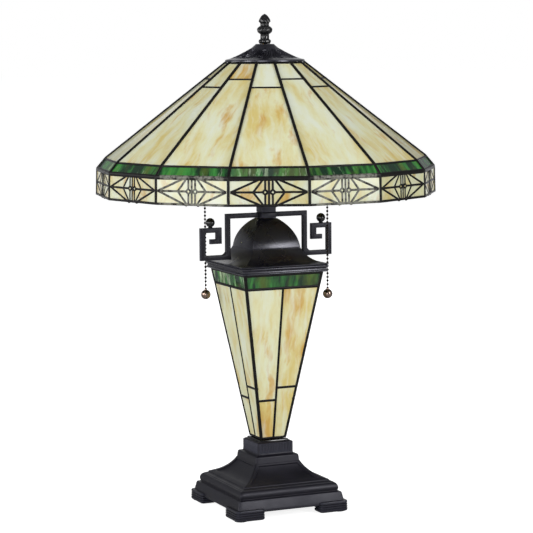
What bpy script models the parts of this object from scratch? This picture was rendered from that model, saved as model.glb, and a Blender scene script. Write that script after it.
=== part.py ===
"""Stained glass table lamp with a square leaded glass column and a fourteen-sided leaded shade.

Metres, +Z up. The origin is the centre of the base where it stands, -Y is the front and +X the
right-hand scroll arm. The column and the base are square, so their sizes are given as half the
width of the square. The shade is a fourteen-sided ring, given by the radius of its corners.
"""

import math

import bmesh
import bpy
from mathutils import Matrix, Vector

MM = 0.001
GAP = 0.3 * MM                      # clearance between pieces that touch

# Shade
FACETS = 14
SHADE_TURN = math.radians(2.64)     # how far the shade sits turned from having one facet square on
APRON_LOW = (229.0, 427.7)          # corner radius and height of the bottom rim, mm
APRON_HIGH = (228.1, 462.8)
BAND_HIGH = (216.6, 476.4)
CROWN_HIGH = (53.8, 603.1)
CAME_DEPTH = 1.2                    # how far the lead stands out from the glass, mm
GLASS_GAP = 0.3
GLASS_THICKNESS = 2.5
SHADE_CAME = 4.4                    # width of a lead came on the shade, mm
LOW_SEAM = 572.3                    # height of the crown's cross seam on every other facet
HIGH_SEAM = 582.6

# Column
COLUMN_LOW = (19.65, 94.8)          # half width and height
COLUMN_HIGH = (58.4, 323.9)
COLUMN_BAND = 304.2                 # height where the green band starts
COLUMN_CAME = 4.2
COLUMN_CORNER = 4.0                 # how far the corner lead reaches onto each face
LEFT_SEAM = 149.5
RIGHT_SEAM = 166.6

# Scroll arms
ARM_BAR = 6.5                       # width of the bar that the scroll arms are cast as, mm
ARM_DEPTH = 6.0
ARM_ROOT = 11.1
ARM_TOP = 401.8
ARM_FOOT = 340.5
ARM_INNER = 53.3                    # inner edge of the upright next to the roof
ARM_OUTER = 96.6
ARM_SHOULDER = 384.0
ARM_BALL_X = 81.6
ARM_BALL_Z = 391.1
ARM_BALL_R = 6.2

# Stem and fittings
PIPE_R = 5.0
PIPE_BORE = 3.8
STUD_R = 3.1
PIPE_HOLE = 6.2                     # half width of the square holes that the pipe passes
SOCKET_LINE = math.radians(-24.06)  # direction of the right-hand socket, seen from above
SOCKET_Z = 462.0
SOCKET_R = 19.0
BULB_R = 30.0
BULB_CENTRE = 158.0                 # distance of the middle of a bulb's globe from the axis
CHAIN_OUT = 82.4                    # how far from the axis the pull chains hang
CHAIN_R = 1.5
CHAIN_TOP = 424.0
BALL_R = 6.55
BALL_Z = 290.7

# Base
FOOT_HALF = 82.0
FOOT_LENGTH = 41.5
FOOT_LEG = 20.0
FOOT_LOW = 0.8
FOOT_TOP = 14.2
PAD_R = 8.5
PAD_THICKNESS = 0.5
PAD_CENTRE = 72.0
INLET_Z = 18.6
CORNERS = ((-1, -1), (1, -1), (1, 1), (-1, 1))
CORNER_NAMES = ("front_left", "front_right", "back_right", "back_left")

ROUND = 16                          # sides of a turned round piece
SQRT2 = math.sqrt(2.0)


# ---------------------------------------------------------------- helpers

def clear_scene():
    for obj in list(bpy.data.objects):
        bpy.data.objects.remove(obj, do_unlink=True)


def new_collection(name):
    collection = bpy.data.collections.new(name)
    bpy.context.scene.collection.children.link(collection)
    return collection


def material(name, colour, roughness, metallic=0.0):
    mat = bpy.data.materials.get(name)
    if mat is None:
        mat = bpy.data.materials.new(name)
        mat.use_nodes = True
        shader = mat.node_tree.nodes["Principled BSDF"]
        shader.inputs["Base Color"].default_value = (*colour, 1.0)
        shader.inputs["Roughness"].default_value = roughness
        shader.inputs["Metallic"].default_value = metallic
    return mat


def cast_bronze(name):
    return material(name, (0.022, 0.022, 0.028), 0.38, 0.85)


def black_finish(name):
    return material(name, (0.010, 0.010, 0.012), 0.16, 0.6)


def lead(name):
    return material(name, (0.035, 0.032, 0.030), 0.34, 0.8)


def brass(name):
    return material(name, (0.50, 0.36, 0.13), 0.30, 1.0)


def cream_glass(name):
    return material(name, (0.78, 0.68, 0.46), 0.14)


def green_glass(name):
    return material(name, (0.035, 0.20, 0.07), 0.12)


def olive_glass(name):
    return material(name, (0.12, 0.26, 0.08), 0.12)


def place(obj, mat, collection):
    obj.data.materials.append(mat)
    collection.objects.link(obj)
    return obj


def arc(start, end, bulge, steps):
    """Points of an arc from start to end, both included; bulge is its height over the chord."""
    a = Vector(start)
    b = Vector(end)
    chord = b - a
    side = Vector((-chord.y, chord.x)).normalized()
    sweep = 4.0 * math.atan(2.0 * abs(bulge) / chord.length)
    radius = chord.length / (2.0 * math.sin(sweep / 2.0))
    centre = (a + b) / 2.0 + side * math.copysign(radius * math.cos(sweep / 2.0), -bulge)
    first = a - centre
    turn = math.copysign(sweep, -bulge)
    points = []
    for i in range(steps + 1):
        angle = turn * i / steps
        points.append(tuple(centre + Matrix.Rotation(angle, 2) @ first))
    return points


def round_line(centre, radius, start, end, steps):
    """Profile points round a ball centred on the axis, between two angles above its middle."""
    points = []
    for i in range(steps + 1):
        angle = math.radians(start + (end - start) * i / steps)
        points.append((round(radius * math.cos(angle), 6), centre + radius * math.sin(angle)))
    return points


def turned(name, profile, steps, mat, collection, phase=0.0):
    """A profile of (radius, height) in mm, from the top down its outer side, turned about Z."""
    open_ends = profile[0][0] == 0.0 and profile[-1][0] == 0.0
    verts = [(r * MM, 0.0, z * MM) for r, z in profile]
    edges = [(i, i + 1) for i in range(len(verts) - 1)]
    if not open_ends:
        edges.append((len(verts) - 1, 0))
    mesh = bpy.data.meshes.new(name)
    mesh.from_pydata(verts, edges, [])
    obj = bpy.data.objects.new(name, mesh)
    place(obj, mat, collection)
    screw = obj.modifiers.new("Turn", "SCREW")
    screw.angle = 2.0 * math.pi
    screw.steps = steps
    screw.render_steps = steps
    screw.use_merge_vertices = True
    screw.merge_threshold = 0.00001
    screw.use_smooth_shade = steps >= ROUND
    obj.rotation_euler.z = phase
    return obj


def square_turned(name, profile, mat, collection):
    """The same for a square piece, whose profile gives half its width."""
    corners = [(half * SQRT2, z) for half, z in profile]
    return turned(name, corners, 4, mat, collection, math.radians(45.0))


def lay_along(obj, angle, z):
    """Lays a piece turned about Z along a level line out of the axis, at height z."""
    obj.rotation_euler = (0.0, math.radians(90.0), angle)
    obj.location = (0.0, 0.0, z * MM)


def flat_piece(name, loops, thickness, mat, collection):
    """A flat outline in XY with holes, as thick as given, centred on Z = 0. Sizes in mm."""
    curve = bpy.data.curves.new(name, "CURVE")
    curve.dimensions = "2D"
    curve.fill_mode = "BOTH"
    curve.extrude = thickness * MM / 2.0
    for loop in loops:
        spline = curve.splines.new("POLY")
        spline.points.add(len(loop) - 1)
        for point, (x, y) in zip(spline.points, loop):
            point.co = (x * MM, y * MM, 0.0, 1.0)
        spline.use_cyclic_u = True
    obj = bpy.data.objects.new(name, curve)
    return place(obj, mat, collection)


def made_mesh(curve_object, collection):
    """Turns a curve object into a welded mesh object of the same name and place."""
    bpy.context.view_layer.update()
    graph = bpy.context.evaluated_depsgraph_get()
    mesh = bpy.data.meshes.new_from_object(curve_object.evaluated_get(graph))
    work = bmesh.new()
    work.from_mesh(mesh)
    bmesh.ops.remove_doubles(work, verts=work.verts, dist=0.000001)
    bmesh.ops.recalc_face_normals(work, faces=work.faces)
    work.to_mesh(mesh)
    work.free()
    name = curve_object.name
    matrix = curve_object.matrix_world.copy()
    bpy.data.objects.remove(curve_object, do_unlink=True)
    obj = bpy.data.objects.new(name, mesh)
    obj.matrix_world = matrix
    collection.objects.link(obj)
    return obj


def cutter(obj):
    obj.display_type = "WIRE"
    obj.hide_render = True
    return obj


def combine(obj, other, operation):
    boolean = obj.modifiers.new(operation.title(), "BOOLEAN")
    boolean.operation = operation
    boolean.solver = "EXACT"
    if isinstance(other, bpy.types.Collection):
        boolean.operand_type = "COLLECTION"
        boolean.collection = other
    else:
        boolean.object = other


def wall_matrix(angle, low, high, depth):
    """Frame of a flat wall that faces out at angle: X along it, Y up it, Z out of it.

    low and high are its distance from the axis and its height at its two edges; the frame sits
    depth under its surface.
    """
    out = Vector((math.cos(angle), math.sin(angle), 0.0))
    up = (out * (high[0] - low[0]) + Vector((0.0, 0.0, high[1] - low[1]))).normalized()
    along = Vector((-math.sin(angle), math.cos(angle), 0.0))
    normal = along.cross(up)
    origin = out * low[0] + Vector((0.0, 0.0, low[1])) - normal * depth
    matrix = Matrix((along, up, normal)).transposed().to_4x4()
    matrix.translation = origin * MM
    return matrix


def inset_profile(profile, depth):
    """A profile moved inwards by depth, mitred at its corners."""
    moved = []
    for i, point in enumerate(profile):
        here = Vector(point)
        before = Vector(profile[max(i - 1, 0)])
        after = Vector(profile[min(i + 1, len(profile) - 1)])
        ways = [w.normalized() for w in (here - before, after - here) if w.length > 0.0]
        normals = [Vector((w.y, -w.x)) for w in ways]
        middle = sum(normals, Vector((0.0, 0.0))).normalized()
        moved.append(tuple(here - middle * (depth / middle.dot(normals[0]))))
    return moved


def ring_profile(outer, inner):
    """Closed profile from an outer and an inner line, both given from the bottom up."""
    return list(reversed(outer)) + list(inner)


# ---------------------------------------------------------------- base

def base_outline():
    """The moulded outside of the base, from its top down."""
    block = [(23.4, 92.4), (24.8, 91.5), (25.6, 89.2), (26.0, 76.2), (27.0, 74.9)]
    step = [(30.3, 73.4), (31.6, 71.6), (32.3, 65.6)]
    slope = arc((32.8, 65.3), (57.2, 43.9), -2.9, 6)
    ledge = [(58.3, 42.5), (67.8, 38.9)]
    torus = arc((69.0, 38.2), (71.3, 28.0), 1.2, 4)
    skirt = [(74.9, 25.9), (75.5, 24.4), (77.9, FOOT_TOP), (77.9, 10.4)]
    return block + step + slope + ledge + torus + skirt


def base_hollow():
    """The inside of the casting, from its bottom edge up to the hole for the pipe."""
    skirt = [(74.4, 10.4), (73.9, 16.4), (71.2, 21.5), (65.0, 31.5)]
    slope = arc((62.0, 34.5), (29.6, 60.0), 4.0, 4)
    return skirt + slope + [(22.5, 72.0), (21.6, 88.2), (PIPE_HOLE, 88.7), (PIPE_HOLE, 92.4)]


def foot_outline(sign_x, sign_y):
    """One L-shaped corner foot seen from above, its outer corner rounded."""
    near = FOOT_HALF - FOOT_LENGTH
    inner = FOOT_HALF - FOOT_LEG
    corner = arc((FOOT_HALF - 6.0, FOOT_HALF), (FOOT_HALF, FOOT_HALF - 6.0), 2.2, 4)
    points = [(inner, inner), (near, inner), (near, FOOT_HALF - 3.0), (near + 3.0, FOOT_HALF)]
    points += corner + [(FOOT_HALF, near + 3.0), (FOOT_HALF - 3.0, near), (inner, near)]
    return [(x * sign_x, y * sign_y) for x, y in points]


def make_base(parts, cutters):
    mat = cast_bronze("Base casting bronze")
    casting = square_turned("base_casting", base_outline() + base_hollow(), mat, parts)
    for number, (sx, sy) in enumerate(CORNERS):
        outline = foot_outline(sx, sy)
        foot = flat_piece(f"foot_block_{number}", [outline], FOOT_TOP - FOOT_LOW, mat, cutters)
        foot.location.z = (FOOT_TOP + FOOT_LOW) / 2.0 * MM
        foot = cutter(made_mesh(foot, cutters))
        combine(casting, foot, "UNION")
    hole = turned("inlet_hole", [(0.0, 90.0), (4.3, 90.0), (4.3, 60.0), (0.0, 60.0)], ROUND, mat, cutters)
    lay_along(cutter(hole), math.radians(90.0), INLET_Z)
    combine(casting, hole, "DIFFERENCE")


def make_base_fittings(parts):
    plate = [(73.0, 16.0), (73.0, 14.5), (5.7, 14.5), (5.7, 16.0)]
    steel = material("Painted steel", (0.03, 0.03, 0.03), 0.5, 0.6)
    square_turned("base_cover_plate", plate, steel, parts)
    nut = [(10.0, 14.2), (10.0, 10.6), (6.1, 10.6), (6.1, 14.2)]
    turned("base_locknut", nut, 6, brass("Locknut brass"), parts)
    bush = [(2.2, 80.0), (5.0, 80.0), (5.6, 79.4), (5.6, 78.3), (3.9, 78.3), (3.9, 73.4), (2.2, 73.4)]
    nylon = material("Black nylon", (0.02, 0.02, 0.02), 0.5)
    inlet = turned("cord_inlet_bush", bush, ROUND, nylon, parts)
    lay_along(inlet, math.radians(90.0), INLET_Z)
    rubber = material("Rubber", (0.02, 0.02, 0.02), 0.9)
    for (sx, sy), side in zip(CORNERS, CORNER_NAMES):
        pad = [(0.0, PAD_THICKNESS), (PAD_R, PAD_THICKNESS), (PAD_R, 0.0), (0.0, 0.0)]
        obj = turned(f"foot_pad_{side}", pad, ROUND, rubber, parts)
        obj.location = (sx * PAD_CENTRE * MM, sy * PAD_CENTRE * MM, 0.0)


# ---------------------------------------------------------------- column

def column_half(z):
    low, high = COLUMN_LOW, COLUMN_HIGH
    return low[0] + (high[0] - low[0]) * (z - low[1]) / (high[1] - low[1])


def column_wall(angle, depth):
    return wall_matrix(angle, COLUMN_LOW, COLUMN_HIGH, depth)


def up_column(z):
    """Distance up the sloping face of the column at height z."""
    return math.hypot(column_half(z) - COLUMN_LOW[0], z - COLUMN_LOW[1])


def column_window(side, z0, z1):
    """One opening between leads: on the right half of a face for side 1, on the left for -1."""
    inner = COLUMN_CAME / 2.0
    low = (column_half(z0) - COLUMN_CORNER, up_column(z0))
    high = (column_half(z1) - COLUMN_CORNER, up_column(z1))
    points = [(inner, low[1]), low, high, (inner, high[1])]
    return [(x * side, y) for x, y in points]


def column_windows():
    half = COLUMN_CAME / 2.0
    windows = []
    for side, seam in ((-1, LEFT_SEAM), (1, RIGHT_SEAM)):
        windows.append(column_window(side, COLUMN_LOW[1] + half, seam - half))
        windows.append(column_window(side, seam + half, COLUMN_BAND - half))
        windows.append(column_window(side, COLUMN_BAND + half, COLUMN_HIGH[1] - half))
    return windows


def make_column_frame(parts):
    outer = [COLUMN_LOW, COLUMN_HIGH]
    profile = ring_profile(outer, inset_profile(outer, CAME_DEPTH))
    mat = lead("Column lead")
    frame = square_turned("column_frame", profile, mat, parts)
    openings = new_collection("column_openings")
    for number in range(4):
        for index, outline in enumerate(column_windows()):
            opening = flat_piece(f"column_opening_{number}_{index}", [outline], 8.0, mat, openings)
            opening.matrix_world = column_wall(math.radians(90.0 * number), 0.0)
            cutter(made_mesh(opening, openings))
    combine(frame, openings, "DIFFERENCE")


def make_column_glass(parts):
    depth = CAME_DEPTH + GLASS_GAP
    side = depth + GLASS_THICKNESS + 0.5
    z0 = COLUMN_LOW[1] + 0.9
    z1 = COLUMN_BAND - 0.3
    low = (column_half(z0) - side, up_column(z0))
    high = (column_half(z1) - side, up_column(z1))
    outline = [(-low[0], low[1]), low, high, (-high[0], high[1])]
    for angle, face in ((-90, "front"), (0, "right"), (90, "back"), (180, "left")):
        mat = cream_glass(f"Column glass {face}")
        pane = flat_piece(f"column_glass_{face}", [outline], GLASS_THICKNESS, mat, parts)
        pane.matrix_world = column_wall(math.radians(angle), depth + GLASS_THICKNESS / 2.0)
    z2 = COLUMN_BAND + 0.3
    z3 = COLUMN_HIGH[1] - 0.4
    line = [(column_half(z2), z2), (column_half(z3), z3)]
    band = ring_profile(inset_profile(line, depth), inset_profile(line, depth + GLASS_THICKNESS))
    square_turned("column_green_band", band, green_glass("Column band glass"), parts)


def make_column_mounts(parts):
    foot = [(20.2, 94.4), (20.9, 94.0), (21.4, 92.8), (PIPE_HOLE, 92.8), (PIPE_HOLE, 94.4)]
    square_turned("column_foot_ring", foot, cast_bronze("Column foot bronze"), parts)
    upper_bead = [(61.6, 333.6), (63.2, 332.9), (63.2, 331.4), (61.9, 330.2)]
    lower_bead = [(61.7, 327.2), (62.7, 326.0), (62.5, 324.6), (61.2, 324.2)]
    hole = [(50.0, 324.2), (50.0, 333.6)]
    square_turned("column_top_rim", upper_bead + lower_bead + hole, cast_bronze("Column rim bronze"), parts)


def make_roof(parts):
    outer = [(35.0, 355.4)] + arc((35.0, 354.6), (62.4, 335.4), -4.4, 6) + [(63.6, 334.8), (63.6, 333.9)]
    inner = [(57.0, 333.9)] + arc((54.0, 336.0), (32.0, 352.6), 4.2, 4) + [(32.0, 355.4)]
    square_turned("roof_flare", outer + inner, cast_bronze("Roof flare bronze"), parts)
    outer = [(PIPE_HOLE, 394.0)] + arc((12.5, 394.0), (35.0, 356.4), 4.6, 7) + [(35.0, 355.7)]
    inner = [(31.6, 355.7)] + arc((31.6, 357.0), (12.0, 390.0), -4.0, 5) + [(PIPE_HOLE, 391.4)]
    square_turned("roof_dome", outer + inner, cast_bronze("Roof dome bronze"), parts)


# ---------------------------------------------------------------- neck and arms

def arm_outline():
    """The right-hand Greek key scroll: out, down, out along the bottom, up and curled in."""
    bar = ARM_BAR
    upright = ARM_INNER + bar
    floor = ARM_FOOT + bar
    wall = ARM_OUTER - bar - 0.9
    curl = ARM_SHOULDER - bar
    left = 66.0
    return [
        (ARM_ROOT, ARM_TOP),
        (upright, ARM_TOP),
        *arc((upright, floor + 4.5), (upright + 7.5, floor), -1.5, 3),
        (wall, floor),
        (wall, curl),
        (left + bar + 1.3, curl),
        (left + bar + 1.3, 368.7),
        (82.5, 368.7),
        (82.5, 362.3),
        (left, 362.3),
        (left, ARM_SHOULDER),
        (ARM_OUTER, ARM_SHOULDER),
        (ARM_OUTER, ARM_FOOT),
        (52.2, ARM_FOOT),
        (ARM_INNER, 345.5),
        (ARM_INNER, ARM_TOP - bar),
        (ARM_ROOT, ARM_TOP - bar),
    ]


def make_arms(parts):
    for side, name in ((-1, "left"), (1, "right")):
        outline = [(x * side, z) for x, z in arm_outline()]
        arm = flat_piece(f"arm_{name}", [outline], ARM_DEPTH, cast_bronze(f"Arm bronze {name}"), parts)
        arm.rotation_euler.x = math.radians(90.0)
        neck = [(2.6, ARM_SHOULDER + GAP / MM), (0.0, ARM_SHOULDER + GAP / MM)]
        profile = round_line(ARM_BALL_Z, ARM_BALL_R, 90.0, -66.0, 8) + neck
        ball = turned(f"arm_ball_{name}", profile, ROUND, black_finish(f"Ball finish {name}"), parts)
        ball.location.x = side * ARM_BALL_X * MM


def make_neck(parts):
    collar = [(10.6, 402.0), (10.6, 394.4), (PIPE_HOLE, 394.4), (PIPE_HOLE, 402.0)]
    square_turned("neck_collar", collar, cast_bronze("Collar bronze"), parts)
    tube = [(10.2, 441.6), (10.2, 402.3), (PIPE_HOLE, 402.3), (PIPE_HOLE, 441.6)]
    square_turned("neck_tube", tube, cast_bronze("Neck bronze"), parts)
    outer = [(STUD_R, 640.0), (STUD_R, 621.0), (PIPE_R, 620.0), (PIPE_R, 9.2)]
    bore = [(PIPE_BORE, 9.2), (PIPE_BORE, 617.0), (1.9, 619.0), (1.9, 640.0)]
    turned("lamp_pipe", outer + bore, 12, brass("Pipe brass"), parts)


# ---------------------------------------------------------------- electrical fittings

def make_nightlight(parts, cutters):
    out = 16.5
    brass_mat = brass("Night-light holder brass")
    cup = [(0.0, 180.0), (7.0, 180.0), (7.0, 205.0), (8.6, 205.0), (8.6, 175.0), (0.0, 175.0)]
    holder = turned("nightlight_holder", cup, ROUND, brass_mat, parts)
    holder.location.x = out * MM
    strap_outline = [(-9.0, -7.5), (out, -7.5), (out, 7.5), (-9.0, 7.5)]
    strap = flat_piece("holder_strap", [strap_outline], 2.4, brass_mat, cutters)
    strap.location.z = 176.2 * MM
    combine(holder, cutter(made_mesh(strap, cutters)), "UNION")
    bore = [(0.0, 190.0), (PIPE_R + 0.4, 190.0), (PIPE_R + 0.4, 170.0), (0.0, 170.0)]
    hole = cutter(turned("holder_hole", bore, ROUND, brass_mat, cutters))
    combine(holder, hole, "DIFFERENCE")
    outer = arc((0.0, 247.0), (10.4, 228.0), 5.0, 5) + [(6.2, 206.0), (6.2, 184.0)]
    inner = [(5.2, 184.0), (5.2, 206.0)] + arc((9.5, 228.0), (0.0, 246.0), -4.8, 4)
    clear = material("Clear bulb glass", (0.9, 0.9, 0.88), 0.03)
    bulb = turned("nightlight_bulb", outer + inner, ROUND, clear, parts)
    bulb.location.x = out * MM


def make_cluster(parts, cutters):
    mat = black_finish("Cluster body black")
    body = [(5.6, 480.0), (9.0, 480.0), (15.5, 474.0), (15.5, 450.0), (11.0, 442.0), (5.6, 442.0)]
    cluster = turned("cluster_body", body, ROUND, mat, parts)
    for number, angle in enumerate((SOCKET_LINE, SOCKET_LINE + math.pi)):
        stub = [(0.0, 37.7), (6.0, 37.7), (6.0, 8.0), (0.0, 8.0)]
        arm = cutter(turned(f"cluster_stub_{number}", stub, ROUND, mat, cutters))
        lay_along(arm, angle, SOCKET_Z)
        combine(cluster, arm, "UNION")
    bore = [(0.0, 490.0), (5.6, 490.0), (5.6, 430.0), (0.0, 430.0)]
    combine(cluster, cutter(turned("cluster_bore", bore, ROUND, mat, cutters)), "DIFFERENCE")


def make_socket(parts, cutters, name, angle):
    mat = brass(f"Socket brass {name}")
    cup = [(0.0, 60.0), (16.4, 60.0), (16.4, 98.0), (SOCKET_R, 98.0), (SOCKET_R, 50.0), (13.0, 42.0)]
    socket = turned(f"socket_{name}", cup + [(9.0, 38.0), (0.0, 38.0)], ROUND, mat, parts)
    lay_along(socket, angle, SOCKET_Z)
    outside = [(0.0, 444.9), (5.0, 444.9), (5.0, 438.0), (3.4, 431.0)]
    bore = [(2.3, 431.0), (2.3, 442.0), (0.0, 442.0)]
    bell = cutter(turned(f"switch_bell_{name}", outside + bore, ROUND, mat, cutters))
    bell.location = chain_place(angle)
    combine(socket, bell, "UNION")


def make_bulb(parts, name, angle):
    outer = round_line(BULB_CENTRE, BULB_R, 90.0, -46.0, 8) + [(14.0, 114.0), (12.9, 99.0), (12.9, 66.0)]
    inner = [(11.9, 66.0), (11.9, 99.0), (13.0, 114.0)]
    inner += round_line(BULB_CENTRE, BULB_R - 1.2, -45.0, 90.0, 8)
    clear = material("Bulb glass", (0.93, 0.93, 0.90), 0.20)
    bulb = turned(f"bulb_{name}", outer + inner, ROUND, clear, parts)
    lay_along(bulb, angle, SOCKET_Z)


def chain_place(angle):
    return (math.cos(angle) * CHAIN_OUT * MM, math.sin(angle) * CHAIN_OUT * MM, 0.0)


def make_pull(parts, name, angle):
    mat = black_finish(f"Pull bronze {name}")
    place_at = chain_place(angle)
    eye = CHAIN_TOP + GAP / MM
    profile = [(0.0, 440.5), (1.6, 440.5), (1.6, 430.6), (2.6, 429.2), (2.6, eye), (0.0, eye)]
    link = turned(f"pull_link_{name}", profile, 12, mat, parts)
    low = BALL_Z + BALL_R + GAP / MM
    tip = [(0.0, CHAIN_TOP), (0.5, CHAIN_TOP), (CHAIN_R, CHAIN_TOP - 1.2)]
    profile = tip + [(CHAIN_R, low), (0.0, low)]
    chain = turned(f"pull_chain_{name}", profile, 8, mat, parts)
    ball = turned(f"chain_ball_{name}", round_line(BALL_Z, BALL_R, 90.0, -90.0, 8), 12, mat, parts)
    for obj in (link, chain, ball):
        obj.location = place_at


def make_lights(parts, cutters):
    make_nightlight(parts, cutters)
    make_cluster(parts, cutters)
    for name, angle in (("right", SOCKET_LINE), ("left", SOCKET_LINE + math.pi)):
        make_socket(parts, cutters, name, angle)
        make_bulb(parts, name, angle)
        make_pull(parts, name, angle)


# ---------------------------------------------------------------- shade

def facet_angle(number):
    return math.radians(-90.0) + SHADE_TURN + number * 2.0 * math.pi / FACETS


def shade_turned(name, profile, mat, parts):
    return turned(name, profile, FACETS, mat, parts, facet_angle(0.5))


def apothem(corner):
    """Distance of the middle of a facet from the axis, where its corners are at the given radius."""
    return (corner[0] * math.cos(math.pi / FACETS), corner[1])


def facet_wall(number, low, high, depth):
    return wall_matrix(facet_angle(number), apothem(low), apothem(high), depth)


def facet_outline(low, high, side, bottom, top):
    """The flat of a facet between two rings, drawn in by side, bottom and top."""
    a = Vector(apothem(low))
    b = Vector(apothem(high))
    length = (b - a).length
    half_low = low[0] * math.sin(math.pi / FACETS)
    half_high = high[0] * math.sin(math.pi / FACETS)
    points = []
    for y in (bottom, length - top):
        half = half_low + (half_high - half_low) * y / length - side
        points.append((half, y))
    lower, upper = points
    return [(-lower[0], lower[1]), lower, upper, (-upper[0], upper[1])]


def on_crown(z):
    """Corner radius and height of the crown's slope at height z."""
    share = (z - BAND_HIGH[1]) / (CROWN_HIGH[1] - BAND_HIGH[1])
    return (BAND_HIGH[0] + (CROWN_HIGH[0] - BAND_HIGH[0]) * share, z)


def make_shade_frame(parts):
    rings = [APRON_LOW, APRON_HIGH, BAND_HIGH, CROWN_HIGH]
    mat = lead("Shade lead")
    frame = shade_turned("shade_frame", ring_profile(rings, inset_profile(rings, CAME_DEPTH)), mat, parts)
    openings = new_collection("shade_openings")
    half = SHADE_CAME / 2.0
    for number in range(FACETS):
        seam = on_crown(LOW_SEAM if number % 2 else HIGH_SEAM)
        bays = [(APRON_LOW, APRON_HIGH), (APRON_HIGH, BAND_HIGH), (BAND_HIGH, seam), (seam, CROWN_HIGH)]
        for index, (low, high) in enumerate(bays):
            outline = facet_outline(low, high, half, half, half)
            opening = flat_piece(f"shade_opening_{number}_{index}", [outline], 8.0, mat, openings)
            opening.matrix_world = facet_wall(number, low, high, 0.0)
            cutter(made_mesh(opening, openings))
    combine(frame, openings, "DIFFERENCE")


def make_shade_glass(parts):
    depth = CAME_DEPTH + GLASS_GAP
    inner = depth + GLASS_THICKNESS
    rings = [APRON_LOW, APRON_HIGH, BAND_HIGH, CROWN_HIGH]
    outside = inset_profile(rings, depth)
    inside = inset_profile(rings, inner)
    trim = 0.5
    low = [(outside[0][0], outside[0][1] + trim), (outside[1][0], outside[1][1] - trim)]
    low_inner = [(inside[0][0], low[0][1]), (inside[1][0], low[1][1])]
    shade_turned("shade_apron", ring_profile(low, low_inner), cream_glass("Apron glass"), parts)
    way = (Vector(outside[2]) - Vector(outside[1])).normalized() * trim
    band = [tuple(Vector(outside[1]) + way), tuple(Vector(outside[2]) - way)]
    band_inner = [tuple(Vector(inside[1]) + way), tuple(Vector(inside[2]) - way)]
    shade_turned("shade_green_band", ring_profile(band, band_inner), olive_glass("Shade band glass"), parts)
    mat = cream_glass("Crown glass")
    outline = facet_outline(BAND_HIGH, CROWN_HIGH, 1.4, 2.2, 0.6)
    for number in range(FACETS):
        panel = flat_piece(f"shade_panel_{number + 1:02d}", [outline], GLASS_THICKNESS, mat, parts)
        panel.matrix_world = facet_wall(number, BAND_HIGH, CROWN_HIGH, depth + GLASS_THICKNESS / 2.0)


def spider_outline():
    """A hub with four arms, seen from above, going round from one arm to the next."""
    points = []
    for number in range(4):
        turn = Matrix.Rotation(number * math.pi / 2.0, 2)
        quarter = [(44.0, -3.0), (44.0, 3.0), (10.5, 3.0), (8.2, 8.2)]
        points += [tuple(turn @ Vector(p)) for p in quarter]
    return points


def circle(radius, steps):
    turns = [2.0 * math.pi * i / steps for i in range(steps)]
    return [(radius * math.cos(t), radius * math.sin(t)) for t in turns]


def make_shade_fixings(parts):
    nut = [(9.0, 594.6), (9.0, 590.0), (6.1, 590.0), (6.1, 594.6)]
    turned("shade_seat_nut", nut, 6, brass("Seat nut brass"), parts)
    loops = [spider_outline(), circle(5.6, ROUND)]
    spider = flat_piece("shade_spider", loops, 2.6, brass("Spider brass"), parts)
    spider.location.z = 596.2 * MM
    outer = arc((12.4, 627.0), (52.6, 606.2), -3.2, 8) + [(53.2, 605.2), (53.2, 603.6)]
    inner = [(50.4, 603.6)] + arc((50.4, 605.6), (11.0, 624.6), 3.2, 6)
    sleeve = [(8.0, 624.2), (8.0, 597.9), (5.6, 597.9), (5.6, 627.0)]
    turned("shade_cap", outer + inner + sleeve, 28, cast_bronze("Cap bronze"), parts)
    stem = [(6.1, 639.6), (6.1, 633.4), (8.1, 632.0), (8.1, 627.4)]
    bulb = arc((6.1, 650.8), (6.6, 639.8), 3.6, 6)
    tip = arc((0.0, 667.0), (8.2, 656.4), 2.4, 4)
    bore = [(3.5, 627.4), (3.5, 641.0), (0.0, 641.0)]
    turned("finial", tip + bulb + stem + bore, ROUND, black_finish("Finial black"), parts)


# ---------------------------------------------------------------- the lamp

def main():
    clear_scene()
    parts = new_collection("stained_glass_table_lamp")
    cutters = new_collection("cutters")
    make_base(parts, cutters)
    make_base_fittings(parts)
    make_column_frame(parts)
    make_column_glass(parts)
    make_column_mounts(parts)
    make_roof(parts)
    make_arms(parts)
    make_neck(parts)
    make_lights(parts, cutters)
    make_shade_frame(parts)
    make_shade_glass(parts)
    make_shade_fixings(parts)


main()
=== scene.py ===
"""Stained glass table lamp: a leaded glass shade of fourteen facets over a leaded, tapered column.

The frame gives the lamp's bodies; everything made here lies round them. Metres, +Z up, -Y the front
of the square base, +X the right-hand scroll arm. Outlines are written in millimetres.
"""

import math
import random

import bmesh
import bpy
from mathutils import Matrix, Vector, noise


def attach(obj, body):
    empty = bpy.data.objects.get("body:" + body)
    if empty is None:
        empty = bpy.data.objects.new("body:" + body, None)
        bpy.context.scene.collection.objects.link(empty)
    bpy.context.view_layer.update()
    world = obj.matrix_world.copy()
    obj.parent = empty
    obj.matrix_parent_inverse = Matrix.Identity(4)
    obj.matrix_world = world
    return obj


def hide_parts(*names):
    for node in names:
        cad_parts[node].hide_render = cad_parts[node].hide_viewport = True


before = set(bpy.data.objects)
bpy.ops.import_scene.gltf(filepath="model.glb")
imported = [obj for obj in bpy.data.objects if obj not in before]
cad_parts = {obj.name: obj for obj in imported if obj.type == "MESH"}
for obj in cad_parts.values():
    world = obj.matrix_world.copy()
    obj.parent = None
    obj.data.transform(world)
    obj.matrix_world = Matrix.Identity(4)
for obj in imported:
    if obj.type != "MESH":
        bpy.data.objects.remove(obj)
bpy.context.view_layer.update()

bl_info = {
    "name": "Stained Glass Table Lamp",
    "version": (1, 0, 0),
    "blender": (4, 5, 0),
    "location": "3D View > Sidebar > Lamp",
    "description": "Builds the glass, leads and castings of a table lamp round its frame",
    "category": "Add Mesh",
}

MM = 0.001

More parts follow.
